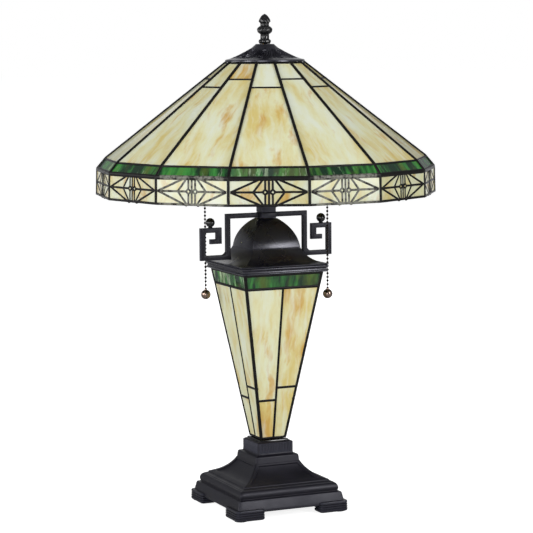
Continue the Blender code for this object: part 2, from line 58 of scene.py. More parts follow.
# The shade: corner radius and height of its rings
FACETS = 14
SHADE_TURN = math.radians(2.64)
APRON_LOW = (229.0, 427.7)
APRON_HIGH = (228.1, 462.8)
BAND_HIGH = (216.6, 476.4)
CROWN_HIGH = (53.8, 603.1)
LOW_SEAM = 572.3
HIGH_SEAM = 582.6
LEAD_STAND = 1.2                    # how far the frame reaches out from the glass
BEAD_STAND = 0.8                    # how far the solder beads stand out from the glass
GLASS_THICKNESS = 2.5
GLINT_FACETS = (FACETS - 2, 0)     # the leads of the stars beside the front one get a painted silvery reflection

# The column: half width and height of its ends
COLUMN_LOW = (19.65, 94.8)
COLUMN_HIGH = (58.4, 323.9)
COLUMN_BAND = 304.2
LEFT_SEAM = 149.5
RIGHT_SEAM = 166.6

# Fittings
SOCKET_LINE = math.radians(-24.06)
SOCKET_Z = 462.0
CHAIN_OUT = 82.4
CHAIN_TOP = 424.0
BALL_R = 6.55
BALL_Z = 290.7
PIPE_HOLE = 6.2

# The camera stands level with the shade and looks down at the middle of the lamp
CAMERA_DISTANCE = 2.761
CAMERA_HEIGHT = 0.6363
CAMERA_SIDE = math.radians(24.06)
CAMERA_PITCH = math.radians(6.37)
CAMERA_ROLL = math.radians(-0.44)
CAMERA_LENS = 138.9


# ---------------------------------------------------------------- user settings

def colour_prop(name, description, default):
    return bpy.props.StringProperty(name=name, description=description, default=default)


def size_prop(name, description, default):
    return bpy.props.FloatProperty(name=name, description=description, default=default, min=0.0)


class LampGlassSettings(bpy.types.PropertyGroup):
    cream: colour_prop("Cream", "Ground colour of the crown and apron glass, as sRGB hex", "DEDDB4")
    honey: colour_prop("Honey", "Soft yellow that clouds the cream glass", "D6C47C")
    amber: colour_prop("Amber", "Orange-brown streaks in the cream glass", "CCA250")
    mist: colour_prop("Mist", "Pale grey-green wisps in the cream glass", "E0E4D0")
    green: colour_prop("Green", "Ground colour of the green glass", "378036")
    deep_green: colour_prop("Deep green", "Dark streaks in the green glass", "0C2C18")
    olive: colour_prop("Olive", "Brownish streaks in the green glass", "52621E")
    pale_green: colour_prop("Pale green", "Milky wisps in the green glass", "C4DCB2")
    variety: bpy.props.IntProperty(
        name="Variety", description="Picks another sheet for each piece", default=7)


class LampLeadSettings(bpy.types.PropertyGroup):
    corner: size_prop("Corner lead", "Width of the leads between facets, mm", 3.7)
    seam: size_prop("Seam lead", "Width of the seams across a facet, mm", 3.3)
    fine: size_prop("Fine lead", "Width of the leads of the star pattern, mm", 3.3)
    hand: size_prop("Hand work", "Unevenness of the solder, mm", 0.16)
    colour: colour_prop("Patina", "Colour of the dark patina", "0E0D0D")


class LampMetalSettings(bpy.types.PropertyGroup):
    casting: colour_prop("Casting", "Colour of the satin finish on the castings", "0E0D13")
    # Edge colour: partly a thinner finish, partly a painted highlight on the edges
    edge: colour_prop("Rubbed edge", "Colour where the finish is rubbed on edges", "34353F")
    gloss: colour_prop("Gloss black", "Colour of the finial and the balls", "070708")


# ---------------------------------------------------------------- colour and node helpers

def srgb(text):
    """An sRGB hex colour as a linear RGBA tuple."""
    channels = [int(text[i:i + 2], 16) / 255.0 for i in (0, 2, 4)]
    linear = [c / 12.92 if c <= 0.04045 else ((c + 0.055) / 1.055) ** 2.4 for c in channels]
    return (*linear, 1.0)


def grey(value):
    return (value, value, value, 1.0)


def add(tree, kind, inputs=None, stops=None, **settings):
    """Adds a node. inputs go to its sockets, as values or links; stops fill a colour ramp."""
    node = tree.nodes.new(kind)
    for name, value in settings.items():
        setattr(node, name, value)
    if stops:
        elements = node.color_ramp.elements
        while len(elements) < len(stops):
            elements.new(0.5)
        for element, (position, colour) in zip(elements, stops):
            element.position = position
            element.color = colour
    for key, value in (inputs or {}).items():
        if isinstance(value, bpy.types.NodeSocket):
            tree.links.new(value, node.inputs[key])
        else:
            node.inputs[key].default_value = value
    return node


def made(tree, kind, inputs=None, **settings):
    """Adds a node and returns its first output."""
    return add(tree, kind, inputs, **settings).outputs[0]


def ramp(tree, share, *stops):
    return made(tree, "ShaderNodeValToRGB", {"Fac": share}, stops=stops)


def blend(tree, share, first, second):
    return add(tree, "ShaderNodeMix", {0: share, 6: first, 7: second}, data_type="RGBA").outputs[2]


def reckon(tree, operation, *terms):
    return made(tree, "ShaderNodeMath", dict(enumerate(terms)), operation=operation)


def vector_sum(tree, operation, inputs):
    return made(tree, "ShaderNodeVectorMath", inputs, operation=operation)


def spread(tree, share, low, high, start=0.3, end=0.7):
    """Maps the part of a pattern from start to end onto low to high."""
    return made(tree, "ShaderNodeMapRange", {0: share, 1: start, 2: end, 3: low, 4: high})


def bumps(tree, height, strength, depth):
    """A normal from a pattern of heights, its depth in mm."""
    return made(tree, "ShaderNodeBump", {"Height": height, "Strength": strength, "Distance": depth * MM})


def attribute(tree, name):
    return add(tree, "ShaderNodeAttribute", attribute_name=name).outputs["Fac"]


def grain(tree, size, detail, place=None, output="Fac"):
    """Noise with features about size across, in mm."""
    if place is None:
        place = add(tree, "ShaderNodeTexCoord").outputs["Object"]
    inputs = {"Vector": place, "Scale": 1.0 / (size * MM), "Detail": detail}
    return add(tree, "ShaderNodeTexNoise", inputs).outputs[output]


def blank_material(name):
    mat = bpy.data.materials.new(name)
    mat.use_nodes = True
    mat.node_tree.nodes.clear()
    return mat, mat.node_tree


def show(tree, surface):
    add(tree, "ShaderNodeOutputMaterial", {"Surface": surface})


def show_skin(tree, inputs):
    show(tree, made(tree, "ShaderNodeBsdfPrincipled", inputs))


# ---------------------------------------------------------------- materials

def sheet_place(tree):
    return add(tree, "ShaderNodeUVMap", uv_map="sheet").outputs["UV"]


def streaks(tree, width, length, warp, detail, roughness=0.5):
    """Noise drawn along the sheet of glass: features width across and length along, bent by warp."""
    sheet = sheet_place(tree)
    slow = grain(tree, 38.0, 2.0, sheet, "Color")
    centred = vector_sum(tree, "SUBTRACT", {0: slow, 1: (0.5, 0.5, 0.5)})
    scaled = vector_sum(tree, "SCALE", {0: centred, "Scale": warp * MM})
    moved = vector_sum(tree, "ADD", {0: sheet, 1: scaled})
    scale = (1.0 / (width * MM), 1.0 / (length * MM), 1.0)
    place = made(tree, "ShaderNodeMapping", {"Vector": moved, "Scale": scale})
    inputs = {"Vector": place, "Scale": 1.0, "Detail": detail, "Roughness": roughness}
    return made(tree, "ShaderNodeTexNoise", inputs)


def milky_glass(tree, glow, inputs):
    """A shiny skin over a milky body that lets a share of the light through."""
    shared = {key: inputs[key] for key in ("Normal",) if key in inputs}
    skin = made(tree, "ShaderNodeBsdfPrincipled", {"IOR": 1.52, **inputs})
    through = made(tree, "ShaderNodeBsdfTranslucent", {"Color": inputs["Base Color"], **shared})
    show(tree, made(tree, "ShaderNodeMixShader", {0: glow, 1: skin, 2: through}))


def art_glass(tree, colour, glow):
    """Cast and rolled glass; the rollers leave a gentle ripple, about 9 mm from crest to crest."""
    ripple = bumps(tree, grain(tree, 9.0, 3.0, sheet_place(tree)), 0.22, 0.4)
    milky_glass(tree, glow, {"Base Color": colour, "Normal": ripple, "Roughness": 0.13})


def cream_glass(settings, name="opalescent_cream_glass", through=0.20):
    """Opalescent glass, hand-mixed and rolled: milky ground, honey clouds, amber drawn along it."""
    mat, tree = blank_material(name)
    mist, cream, honey, amber = (srgb(getattr(settings, c)) for c in ("mist", "cream", "honey", "amber"))
    tone = attribute(tree, "tone")
    warm = reckon(tree, "MULTIPLY_ADD", tone, 0.24, streaks(tree, 26.0, 80.0, 16.0, 5.0, 0.6))
    ground = ramp(tree, warm, (0.40, mist), (0.53, cream), (0.74, honey))
    more = reckon(tree, "MULTIPLY_ADD", tone, 0.16, streaks(tree, 17.0, 58.0, 16.0, 5.0, 0.56))
    drawn = blend(tree, ramp(tree, more, (0.60, grey(0.0)), (0.75, grey(0.9))), ground, amber)
    wisps = ramp(tree, streaks(tree, 8.0, 55.0, 10.0, 3.5, 0.55), (0.48, grey(0.0)), (0.68, grey(0.6)))
    art_glass(tree, blend(tree, wisps, drawn, mist), through)
    return mat


def thin_cream_glass(settings):
    """The same sheet rolled thinner for the small star pieces, so more of the light goes through it."""
    return cream_glass(settings, "opalescent_cream_glass_thin", 0.42)


def green_glass(settings):
    """Green art glass of the same rolled kind: bands of deep and bright green, olive and milky wisps."""
    mat, tree = blank_material("opalescent_green_glass")
    deep, green, olive = srgb(settings.deep_green), srgb(settings.green), srgb(settings.olive)
    tone = attribute(tree, "tone")
    bands = streaks(tree, 15.0, 80.0, 8.0, 4.0, 0.6)
    ground = ramp(tree, bands, (0.46, deep), (0.63, green), (0.80, olive))
    drift = ramp(tree, streaks(tree, 34.0, 90.0, 12.0, 3.0), (0.52, grey(0.0)), (0.64, grey(0.75)))
    share = reckon(tree, "MULTIPLY", drift, reckon(tree, "SUBTRACT", 1.0, tone))
    ground = blend(tree, share, ground, olive)
    more = reckon(tree, "MULTIPLY_ADD", tone, 0.30, streaks(tree, 11.0, 50.0, 9.0, 4.0, 0.6))
    wisps = ramp(tree, more, (0.64, grey(0.0)), (0.84, grey(0.9)))
    art_glass(tree, blend(tree, wisps, ground, srgb(settings.pale_green)), 0.10)
    return mat


def patinated_solder(settings):
    """Tin-lead solder over copper foil, blackened: a soft, hand-run bead, with a painted silvery reflection on
    the leads of the stars beside the front one.
    """
    mat, tree = blank_material("patinated_solder")
    lumps = grain(tree, 5.0, 5.0)
    dark = ramp(tree, lumps, (0.45, srgb(settings.colour)), (0.80, srgb("1C1A19")))
    # Painted reflection: a silvery colour in patches on the marked leads, standing for light glinting off them
    patches = spread(tree, grain(tree, 4.5, 4.0), 0.0, 0.85, 0.36, 0.56)
    glint_share = reckon(tree, "MULTIPLY", attribute(tree, "painted_glint"), patches)
    show_skin(tree, {
        "Base Color": blend(tree, glint_share, dark, srgb("74746A")),
        "Roughness": spread(tree, lumps, 0.28, 0.44),
        "Normal": bumps(tree, lumps, 0.2, 0.25),
        "Specular IOR Level": 0.13})
    return mat


def cast_metal(settings, name="patinated_cast_zinc", roughness=(0.34, 0.48), shine=0.26):
    """Zinc casting with a baked charcoal finish: fine orange-peel skin, lighter on the sharp edges, partly a
    thinner finish and partly a painted highlight.
    """
    mat, tree = blank_material(name)
    patches = grain(tree, 30.0, 5.0)
    base = ramp(tree, patches, (0.35, srgb(settings.casting)), (0.75, srgb("15141B")))
    # The sharp edges are lighter: partly a thinner finish, partly a painted highlight where light catches them
    edge = add(tree, "ShaderNodeNewGeometry").outputs["Pointiness"]
    rubbed_and_sheened = spread(tree, edge, 0.0, 0.55, 0.52, 0.60)
    show_skin(tree, {
        "Base Color": blend(tree, rubbed_and_sheened, base, srgb(settings.edge)),
        "Roughness": spread(tree, patches, *roughness),
        "Normal": bumps(tree, grain(tree, 1.1, 3.0), 0.22, 0.15),
        "Specular IOR Level": shine, "Specular Tint": srgb("EEEEFA")})
    return mat


def roof_metal(settings):
    """The same finish on the pressed roof, smoother and so shinier than on the castings."""
    return cast_metal(settings, "patinated_pressed_brass", (0.24, 0.32), 0.62)


def fine_finish(name, size, detail, dark, light, skin, rough=None, bump=None):
    """A finish with one pattern, which tints it between two colours and may drive roughness and bump."""
    mat, tree = blank_material(name)
    pattern = grain(tree, size, detail)
    inputs = {"Base Color": ramp(tree, pattern, dark, light), **skin}
    if rough:
        inputs["Roughness"] = spread(tree, pattern, *rough)
    if bump:
        inputs["Normal"] = bumps(tree, pattern, *bump)
    show_skin(tree, inputs)
    return mat


def gloss_black(settings):
    """Black nickel over a polished casting: nearly a mirror, with a faint unevenness from polishing."""
    return fine_finish("black_nickel_gloss", 4.0, 3.0, (0.3, srgb(settings.gloss)), (0.8, srgb("121214")),
                       {"IOR": 1.5}, (0.08, 0.16), (0.15, 0.1))


def dark_chain(settings):
    """Steel bead chain in a dark bronze plating."""
    return fine_finish("bronze_plated_chain", 3.0, 2.0, (0.3, srgb("15110F")), (0.8, srgb("2E2723")),
                       {"Metallic": 0.9, "Roughness": 0.24})


def pull_ball_metal(settings):
    """A spun ball in polished dark bronze plating: near mirror, brown in its reflections."""
    return fine_finish("polished_dark_bronze", 3.0, 2.0, (0.3, srgb("76645A")), (0.8, srgb("9C8A7E")),
                       {"Metallic": 1.0, "Roughness": 0.06})


def turned_brass(settings):
    """Drawn and turned brass with a slight tarnish."""
    return fine_finish("turned_brass", 12.0, 6.0, (0.3, srgb("8C6B35")), (0.7, srgb("C7A45A")),
                       {"Metallic": 1.0}, (0.24, 0.40))


def painted_sheet(settings):
    """Pressed steel sheet in black powder coat, about 0.6 mm from pimple to pimple."""
    return fine_finish("powder_coated_steel", 0.6, 2.0, (0.3, srgb("141416")), (0.8, srgb("242428")),
                       {"Roughness": 0.55}, bump=(0.3, 0.1))


def moulded_rubber(settings):
    """Moulded rubber, matt, with dust in its pores."""
    return fine_finish("moulded_rubber", 1.5, 4.0, (0.35, srgb("1A1A1A")), (0.8, srgb("343331")),
                       {"Roughness": 0.85})


def frosted_bulb(settings):
    """Soda-lime bulb glass, frosted inside: a milky white body under a smooth outer skin."""
    mat, tree = blank_material("frosted_bulb_glass")
    tint = ramp(tree, grain(tree, 14.0, 3.0), (0.3, srgb("EDEDE8")), (0.7, srgb("F8F8F4")))
    milky_glass(tree, 0.35, {"Base Color": tint, "Roughness": 0.16})
    return mat


MATERIAL_MAKERS = {
    "cream": (cream_glass, "glass"),
    "thin_cream": (thin_cream_glass, "glass"),
    "green": (green_glass, "glass"),
    "solder": (patinated_solder, "lead"),
    "casting": (cast_metal, "metal"),
    "roof": (roof_metal, "metal"),
    "gloss": (gloss_black, "metal"),
    "ball": (pull_ball_metal, "metal"),
    "chain": (dark_chain, "metal"),
    "brass": (turned_brass, "metal"),
    "sheet": (painted_sheet, "metal"),
    "rubber": (moulded_rubber, "metal"),
    "bulb": (frosted_bulb, "glass"),
}
made_materials = {}


def finish_of(key):
    """The material for a finish, made once from the scene's settings."""
    if key not in made_materials:
        maker, group = MATERIAL_MAKERS[key]
        made_materials[key] = maker(getattr(bpy.context.scene, "lamp_" + group))
    return made_materials[key]


# ---------------------------------------------------------------- placing pieces

def keep(name, mesh, finish, body, replaces=()):
    """Adds a finished mesh to the scene, on its body and in place of its CAD nodes."""
    mesh.name = name
    obj = bpy.data.objects.new(name, mesh)
    bpy.context.scene.collection.objects.link(obj)
    mesh.materials.clear()
    mesh.materials.append(finish_of(finish))
    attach(obj, body)
    if replaces:
        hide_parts(*replaces)
    return obj


def refinish(node, finish):
    """Gives a CAD node that stays as it is its material."""
    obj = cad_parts[node]
    obj.data.materials.clear()
    obj.data.materials.append(finish_of(finish))


def mesh_from(work, name, smooth_angle=None):
    """A mesh from a bmesh, shaded smooth up to an angle in degrees if one is given."""
    mesh = bpy.data.meshes.new(name)
    work.to_mesh(mesh)
    work.free()
    if smooth_angle is not None:
        mesh.shade_smooth()
        mesh.set_sharp_from_angle(angle=math.radians(smooth_angle))
    return mesh


# ---------------------------------------------------------------- shapes

def arc(start, end, bulge, steps):
    """Points of an arc from start to end, both included; bulge is its height over the chord."""
    a = Vector(start)
    b = Vector(end)
    chord = b - a
    side = Vector((-chord.y, chord.x)).normalized()
    sweep = 4.0 * math.atan(2.0 * abs(bulge) / chord.length)
    radius = chord.length / (2.0 * math.sin(sweep / 2.0))
    centre = (a + b) / 2.0 + side * math.copysign(radius * math.cos(sweep / 2.0), -bulge)
    first = a - centre
    turn = math.copysign(sweep, -bulge)
    return [tuple(centre + Matrix.Rotation(turn * i / steps, 2) @ first) for i in range(steps + 1)]


def round_line(centre, radius, start, end, steps):
    """Profile points round a ball on the axis, between two angles above its middle."""
    points = []
    for i in range(steps + 1):
        angle = math.radians(start + (end - start) * i / steps)
        points.append((round(radius * math.cos(angle), 6), centre + radius * math.sin(angle)))
    return points


def eased(profile, radius, steps=3):
    """The same profile with its inner corners rounded off."""
    out = [profile[0]]
    for i in range(1, len(profile) - 1):
        here = Vector(profile[i])
        before = Vector(profile[i - 1]) - here
        after = Vector(profile[i + 1]) - here
        reach = min(radius, before.length * 0.45, after.length * 0.45)
        if before.angle(after, math.pi) > math.radians(172.0):
            out.append(profile[i])
            continue
        a = here + before.normalized() * reach
        b = here + after.normalized() * reach
        for k in range(steps + 1):
            t = k / steps
            point = a * (1 - t) ** 2 + here * 2 * t * (1 - t) + b * t ** 2
            out.append(tuple(point))
    out.append(profile[-1])
    return out


def lathe(profile, sides, relief=None):
    """A bmesh turned from a profile of (radius, height) in mm, from the top down the outside.

    relief(angle, radius, height) adds to the radius. A profile that doesn't start and end on the
    axis is closed into a ring.
    """
    work = bmesh.new()
    on_axis = profile[0][0] == 0.0 and profile[-1][0] == 0.0
    rings = []
    for r, z in profile:
        if r == 0.0:
            rings.append([work.verts.new((0.0, 0.0, z * MM))])
            continue
        ring = []
        for i in range(sides):
            angle = 2.0 * math.pi * i / sides
            out = (r + (relief(angle, r, z) if relief else 0.0)) * MM
            ring.append(work.verts.new((out * math.cos(angle), out * math.sin(angle), z * MM)))
        rings.append(ring)
    pairs = list(zip(rings, rings[1:]))
    if not on_axis:
        pairs.append((rings[-1], rings[0]))
    for upper, lower in pairs:
        join_rings(work, upper, lower)
    return work


def join_rings(work, upper, lower):
    """Faces between two rings, or between a ring and a point, wound to face out."""
    count = max(len(upper), len(lower))
    for i in range(count):
        j = (i + 1) % count
        if len(upper) == 1:
            work.faces.new((upper[0], lower[i], lower[j]))
        elif len(lower) == 1:
            work.faces.new((upper[i], lower[0], upper[j]))
        else:
            work.faces.new((upper[i], lower[i], lower[j], upper[j]))


def lay_along(work, angle, z):
    """Turns what was made about Z onto a level line out of the axis."""
    turn = Matrix.Rotation(angle, 4, "Z") @ Matrix.Rotation(math.radians(90.0), 4, "Y")
    work.transform(Matrix.Translation((0.0, 0.0, z * MM)) @ turn)


def square_ring(half, corner, columns, corner_steps=3):
    """Points round a square with rounded corners, as (x, y, column); column is None on a corner."""
    corner = min(corner, half * 0.4)
    side = [(x, -half, j) for j, x in enumerate(columns(half - corner))]
    for k in range(1, corner_steps):
        angle = math.radians(-90.0 + 90.0 * k / corner_steps)
        across, along = corner * math.cos(angle), corner * math.sin(angle)
        side.append((half - corner + across, -half + corner + along, None))
    points = []
    for quarter in range(4):
        turn = Matrix.Rotation(quarter * math.pi / 2.0, 2)
        for x, y, column in side:
            points.append((*(turn @ Vector((x, y))), column))
    return points


def plain_columns(flat):
    return [-flat, flat]


def square_loft(profile, corner=0.8, columns=plain_columns, relief=None):
    """A closed square moulding from a profile of (half width, height), outside down then inside up.

    relief(ring, column) is how deep a point is sunk under the profile, in mm.
    """
    work = bmesh.new()
    rings = []
    for i, (half, z) in enumerate(profile):
        before = Vector(profile[i - 1])
        after = Vector(profile[(i + 1) % len(profile)])
        way = (after - before).normalized()
        normal = Vector((-way.y, way.x))
        ring = []
        for x, y, column in square_ring(half, corner, columns):
            depth = relief(i, column) if relief and column is not None else 0.0
            spot = Vector((x, y))
            if depth:
                face = Vector((0.0, 0.0))
                face[0 if abs(x) > abs(y) else 1] = math.copysign(1.0, x if abs(x) > abs(y) else y)
                spot -= face * normal.x * depth
            ring.append(work.verts.new((spot.x * MM, spot.y * MM, (z - normal.y * depth) * MM)))
        rings.append(ring)
    for upper, lower in zip(rings, rings[1:] + rings[:1]):
        join_rings(work, upper, lower)
    return work


def stacked(levels, outline):
    """A closed solid from level outlines. levels are (inset, height) from the top down, in mm."""
    work = bmesh.new()
    rings = []
    for inset, z in levels:
        rings.append([work.verts.new((x * MM, y * MM, z * MM)) for x, y in outline(inset)])
    for upper, lower in zip(rings, rings[1:]):
        join_rings(work, upper, lower)
    work.faces.new(rings[0])
    work.faces.new(list(reversed(rings[-1])))
    return work


def joined(works, name, smooth_angle=None):
    """One mesh from several bmeshes."""
    whole = bmesh.new()
    for work in works:
        part = bpy.data.meshes.new("part")
        work.to_mesh(part)
        work.free()
        whole.from_mesh(part)
        bpy.data.meshes.remove(part)
    return mesh_from(whole, name, smooth_angle)


# ---------------------------------------------------------------- facets and faces

def wall_matrix(angle, low, high, depth):
    """Frame of a flat wall that faces out at angle: X along it, Y up it, Z out, in metres."""
    out = Vector((math.cos(angle), math.sin(angle), 0.0))
    up = (out * (high[0] - low[0]) + Vector((0.0, 0.0, high[1] - low[1]))).normalized()
    along = Vector((-math.sin(angle), math.cos(angle), 0.0))
    normal = along.cross(up)
    matrix = Matrix((along, up, normal)).transposed().to_4x4()
    matrix.translation = (out * low[0] + Vector((0.0, 0.0, low[1])) - normal * depth) * MM
    return matrix


def facet_angle(number):
    return math.radians(-90.0) + SHADE_TURN + number * 2.0 * math.pi / FACETS


def apothem(corner):
    return (corner[0] * math.cos(math.pi / FACETS), corner[1])


def facet_length(low, high):
    return (Vector(apothem(high)) - Vector(apothem(low))).length


def facet_half(low, high, y):
    """Half the width of a facet, y up its slope."""
    share = y / facet_length(low, high)
    return (low[0] + (high[0] - low[0]) * share) * math.sin(math.pi / FACETS)


def up_crown(z):
    share = (z - BAND_HIGH[1]) / (CROWN_HIGH[1] - BAND_HIGH[1])
    return share * facet_length(BAND_HIGH, CROWN_HIGH)


def column_half(z):
    share = (z - COLUMN_LOW[1]) / (COLUMN_HIGH[1] - COLUMN_LOW[1])
    return COLUMN_LOW[0] + (COLUMN_HIGH[0] - COLUMN_LOW[0]) * share


def up_column(z):
    return math.hypot(column_half(z) - COLUMN_LOW[0], z - COLUMN_LOW[1])


# ---------------------------------------------------------------- glass

class GlassPile:
    """Pieces of glass cut from streaky sheets, gathered in one mesh."""

    def __init__(self, seed):
        self.work = bmesh.new()
        self.uv = self.work.loops.layers.uv.new("sheet")
        self.tone = self.work.verts.layers.float.new("tone")
        self.random = random.Random(seed)

    def cut(self, outline, matrix, tone=None, along=0.0):
        """Adds a piece with a flat outline in mm. along turns the streaks away from the slope."""
        shift = Vector((self.random.uniform(0.0, 5.0), self.random.uniform(0.0, 5.0)))
        tone = self.random.random() if tone is None else tone
        turn = Matrix.Rotation(along, 2)
        half = GLASS_THICKNESS / 2.0
        flat = [Vector(p) for p in outline]
        front = [self.vertex(matrix, p, half, tone) for p in flat]
        back = [self.vertex(matrix, p, -half, tone) for p in flat]
        faces = [(front, flat), (list(reversed(back)), list(reversed(flat)))]
        for i in range(len(flat)):
            j = (i + 1) % len(flat)
            faces.append(([front[i], back[i], back[j], front[j]], [flat[i], flat[i], flat[j], flat[j]]))
        for verts, places in faces:
            face = self.work.faces.new(verts)
            for loop, place in zip(face.loops, places):
                loop[self.uv].uv = (turn @ (place * MM)) + shift

    def vertex(self, matrix, point, height, tone):
        vert = self.work.verts.new(matrix @ Vector((point.x * MM, point.y * MM, height * MM)))
        vert[self.tone] = tone
        return vert

    def mesh(self):
        """The pieces as one mesh; the pile is used up."""
        return mesh_from(self.work, "glass")


def glass_depth():
    return LEAD_STAND + 0.3 + GLASS_THICKNESS / 2.0


def facet_piece(low, high, side, y0, y1):
    """A piece of a facet between two heights up its slope, drawn in by side at its edges."""
    a = facet_half(low, high, y0) - side
    b = facet_half(low, high, y1) - side
    return [(-a, y0), (a, y0), (b, y1), (-b, y1)]


def crown_seam(number):
    return LOW_SEAM if number % 2 else HIGH_SEAM


def star_corners():
    """Corner points of the star on an apron facet, for its right half, from its middle, in mm."""
    height = facet_length(APRON_LOW, APRON_HIGH)
    tip = facet_half(APRON_LOW, APRON_HIGH, height / 2.0) - 3.0
    fixed = {"outer": 7.6, "inner": 6.1, "waist": 19.6, "post": 4.7, "gem": 3.4}
    return {"height": height, "tip": tip, **fixed}


def star_glass():
    """Outlines of the glass in one apron facet, its right half, each a list of points."""
    s = star_corners()
    middle = s["height"] / 2.0
    top = middle * 0.96
    edge = facet_half(APRON_LOW, APRON_HIGH, 0.0) - 1.6
    outer, inner, post, gem = s["outer"], s["inner"], s["post"], s["gem"]
    tip, waist = (s["tip"], 0.0), (s["waist"], 0.0)
    pieces = []
    for sign in (1, -1):
        y = sign * top
        pieces.append([(outer, y), (edge, y), (edge, 0.0), tip])
        pieces.append([(inner, y), (outer, y), tip, waist])
        pieces.append([(post, y), (inner, y), waist, (post + gem, 0.0), (post, sign * gem)])
    pieces.append([(0.0, -top), (post, -top), (post, -gem), (post - gem, 0.0), (post, gem), (post, top),
                   (0.0, top)])
    pieces.append([(post - gem, 0.0), (post, -gem), (post + gem, 0.0), (post, gem)])
    return pieces


def facing_out(outline):
    """The same outline, anticlockwise."""
    area = sum(a[0] * b[1] - b[0] * a[1] for a, b in zip(outline, outline[1:] + outline[:1]))
    return outline if area > 0.0 else list(reversed(outline))


# ---------------------------------------------------------------- Geometry Nodes

def new_tree(name, sockets):
    """A Geometry Nodes tree with a geometry in and out and the named inputs, as (kind, names)."""
    tree = bpy.data.node_groups.new(name, "GeometryNodeTree")
    tree.interface.new_socket("Geometry", in_out="INPUT", socket_type="NodeSocketGeometry")
    for kind, labels in sockets:
        for label in labels:
            tree.interface.new_socket(label, in_out="INPUT", socket_type="NodeSocket" + kind)
    tree.interface.new_socket("Geometry", in_out="OUTPUT", socket_type="NodeSocketGeometry")
    return tree, add(tree, "NodeGroupInput").outputs


def finish_tree(tree, given, geometry):
    """Ends a tree: instances made real, the material set."""
    real = made(tree, "GeometryNodeRealizeInstances", {"Geometry": geometry})
    finished = made(tree, "GeometryNodeSetMaterial", {"Geometry": real, "Material": given["Material"]})
    add(tree, "NodeGroupOutput", {"Geometry": finished})
    return tree


def run_tree(name, source, tree, values):
    """Runs a tree over a mesh with the given inputs and returns the result as a plain mesh."""
    obj = bpy.data.objects.new(name, source)
    bpy.context.scene.collection.objects.link(obj)
    modifier = obj.modifiers.new("Make", "NODES")
    modifier.node_group = tree
    for item in tree.interface.items_tree:
        if item.in_out == "INPUT" and item.name in values:
            modifier[item.identifier] = values[item.name]
    return plain_mesh(obj)


def plain_mesh(obj):
    """The evaluated mesh of an object, which is removed."""
    bpy.context.view_layer.update()
    graph = bpy.context.evaluated_depsgraph_get()
    mesh = bpy.data.meshes.new_from_object(obj.evaluated_get(graph))
    bpy.data.objects.remove(obj, do_unlink=True)
    return mesh


def even_line(tree, given, spacing):
    """The lines of a mesh as curves, and the same with points at an even spacing."""
    line = made(tree, "GeometryNodeMeshToCurve", {"Mesh": given["Geometry"]})
    resampled = {"Curve": line, "Length": given[spacing]}
    return line, made(tree, "GeometryNodeResampleCurve", resampled, mode="LENGTH")


def swept(tree, curve, section):
    """A closed section carried along a curve, its ends capped."""
    inputs = {"Curve": curve, "Profile Curve": section, "Fill Caps": True}
    return made(tree, "GeometryNodeCurveToMesh", inputs)


def around_axis(tree, given, geometry):
    """Copies geometry round the Z axis: Count copies, the first turned by Start."""
    points = made(tree, "GeometryNodeMeshLine", {"Count": given["Count"], "Offset": (0.0, 0.0, 0.0)})
    index = made(tree, "GeometryNodeInputIndex")
    step = reckon(tree, "DIVIDE", 2.0 * math.pi, given["Count"])
    angle = reckon(tree, "MULTIPLY_ADD", index, step, given["Start"])
    turn = made(tree, "ShaderNodeCombineXYZ", {"Z": angle})
    inputs = {"Points": points, "Instance": geometry, "Rotation": turn}
    copies = made(tree, "GeometryNodeInstanceOnPoints", inputs)
    return made(tree, "GeometryNodeRealizeInstances", {"Geometry": copies})


def lead_tree():
    """Runs a bead of solder along every edge of a flat pattern, then repeats it round the axis."""
    tree, given = new_tree("Solder beads", [
        ("Float", ("Width", "Depth", "Spacing", "Unevenness", "Start")), ("Int", ("Sides", "Count")),
        ("Vector", ("Lean", "Place")), ("Material", ("Material",))])
    lines, even = even_line(tree, given, "Spacing")
    level = made(tree, "GeometryNodeSetCurveNormal", {"Curve": even}, mode="Z_UP")
    sides = {"Width": given["Width"], "Height": given["Depth"]}
    block = made(tree, "GeometryNodeCurvePrimitiveQuadrilateral", sides)
    round_off = reckon(tree, "MULTIPLY", given["Width"], 0.34)
    corners = {"Curve": block, "Count": given["Sides"], "Radius": round_off, "Limit Radius": True}
    section = made(tree, "GeometryNodeFilletCurve", corners, mode="POLY")
    bead = {"Geometry": swept(tree, level, section), "Translation": given["Place"]}
    bead["Rotation"] = given["Lean"]
    ring = around_axis(tree, given, made(tree, "GeometryNodeTransform", bead))
    lumps = grain(tree, 7.0, 2.0, made(tree, "GeometryNodeInputPosition"))
    amount = reckon(tree, "MULTIPLY", reckon(tree, "SUBTRACT", lumps, 0.5), given["Unevenness"])
    offset = vector_sum(tree, "SCALE", {0: made(tree, "GeometryNodeInputNormal"), "Scale": amount})
    uneven = made(tree, "GeometryNodeSetPosition", {"Geometry": ring, "Offset": offset})
    return finish_tree(tree, given, made(tree, "GeometryNodeSetShadeSmooth", {"Geometry": uneven}))


def bead_chain_tree():
    """Beads threaded on a wire at an even pitch along a line."""
    tree, given = new_tree("Bead chain", [
        ("Float", ("Pitch", "Bead", "Wire")), ("Material", ("Material",))])
    line, even = even_line(tree, given, "Pitch")
    ball = made(tree, "GeometryNodeMeshUVSphere", {"Segments": 12, "Rings": 8, "Radius": given["Bead"]})
    beads = made(tree, "GeometryNodeInstanceOnPoints", {"Points": even, "Instance": ball})
    circle = made(tree, "GeometryNodeCurvePrimitiveCircle", {"Resolution": 8, "Radius": given["Wire"]})
    both = add(tree, "GeometryNodeJoinGeometry", {0: beads})
    tree.links.new(swept(tree, line, circle), both.inputs[0])
    smooth = made(tree, "GeometryNodeSetShadeSmooth", {"Geometry": both.outputs[0]})
    return finish_tree(tree, given, smooth)


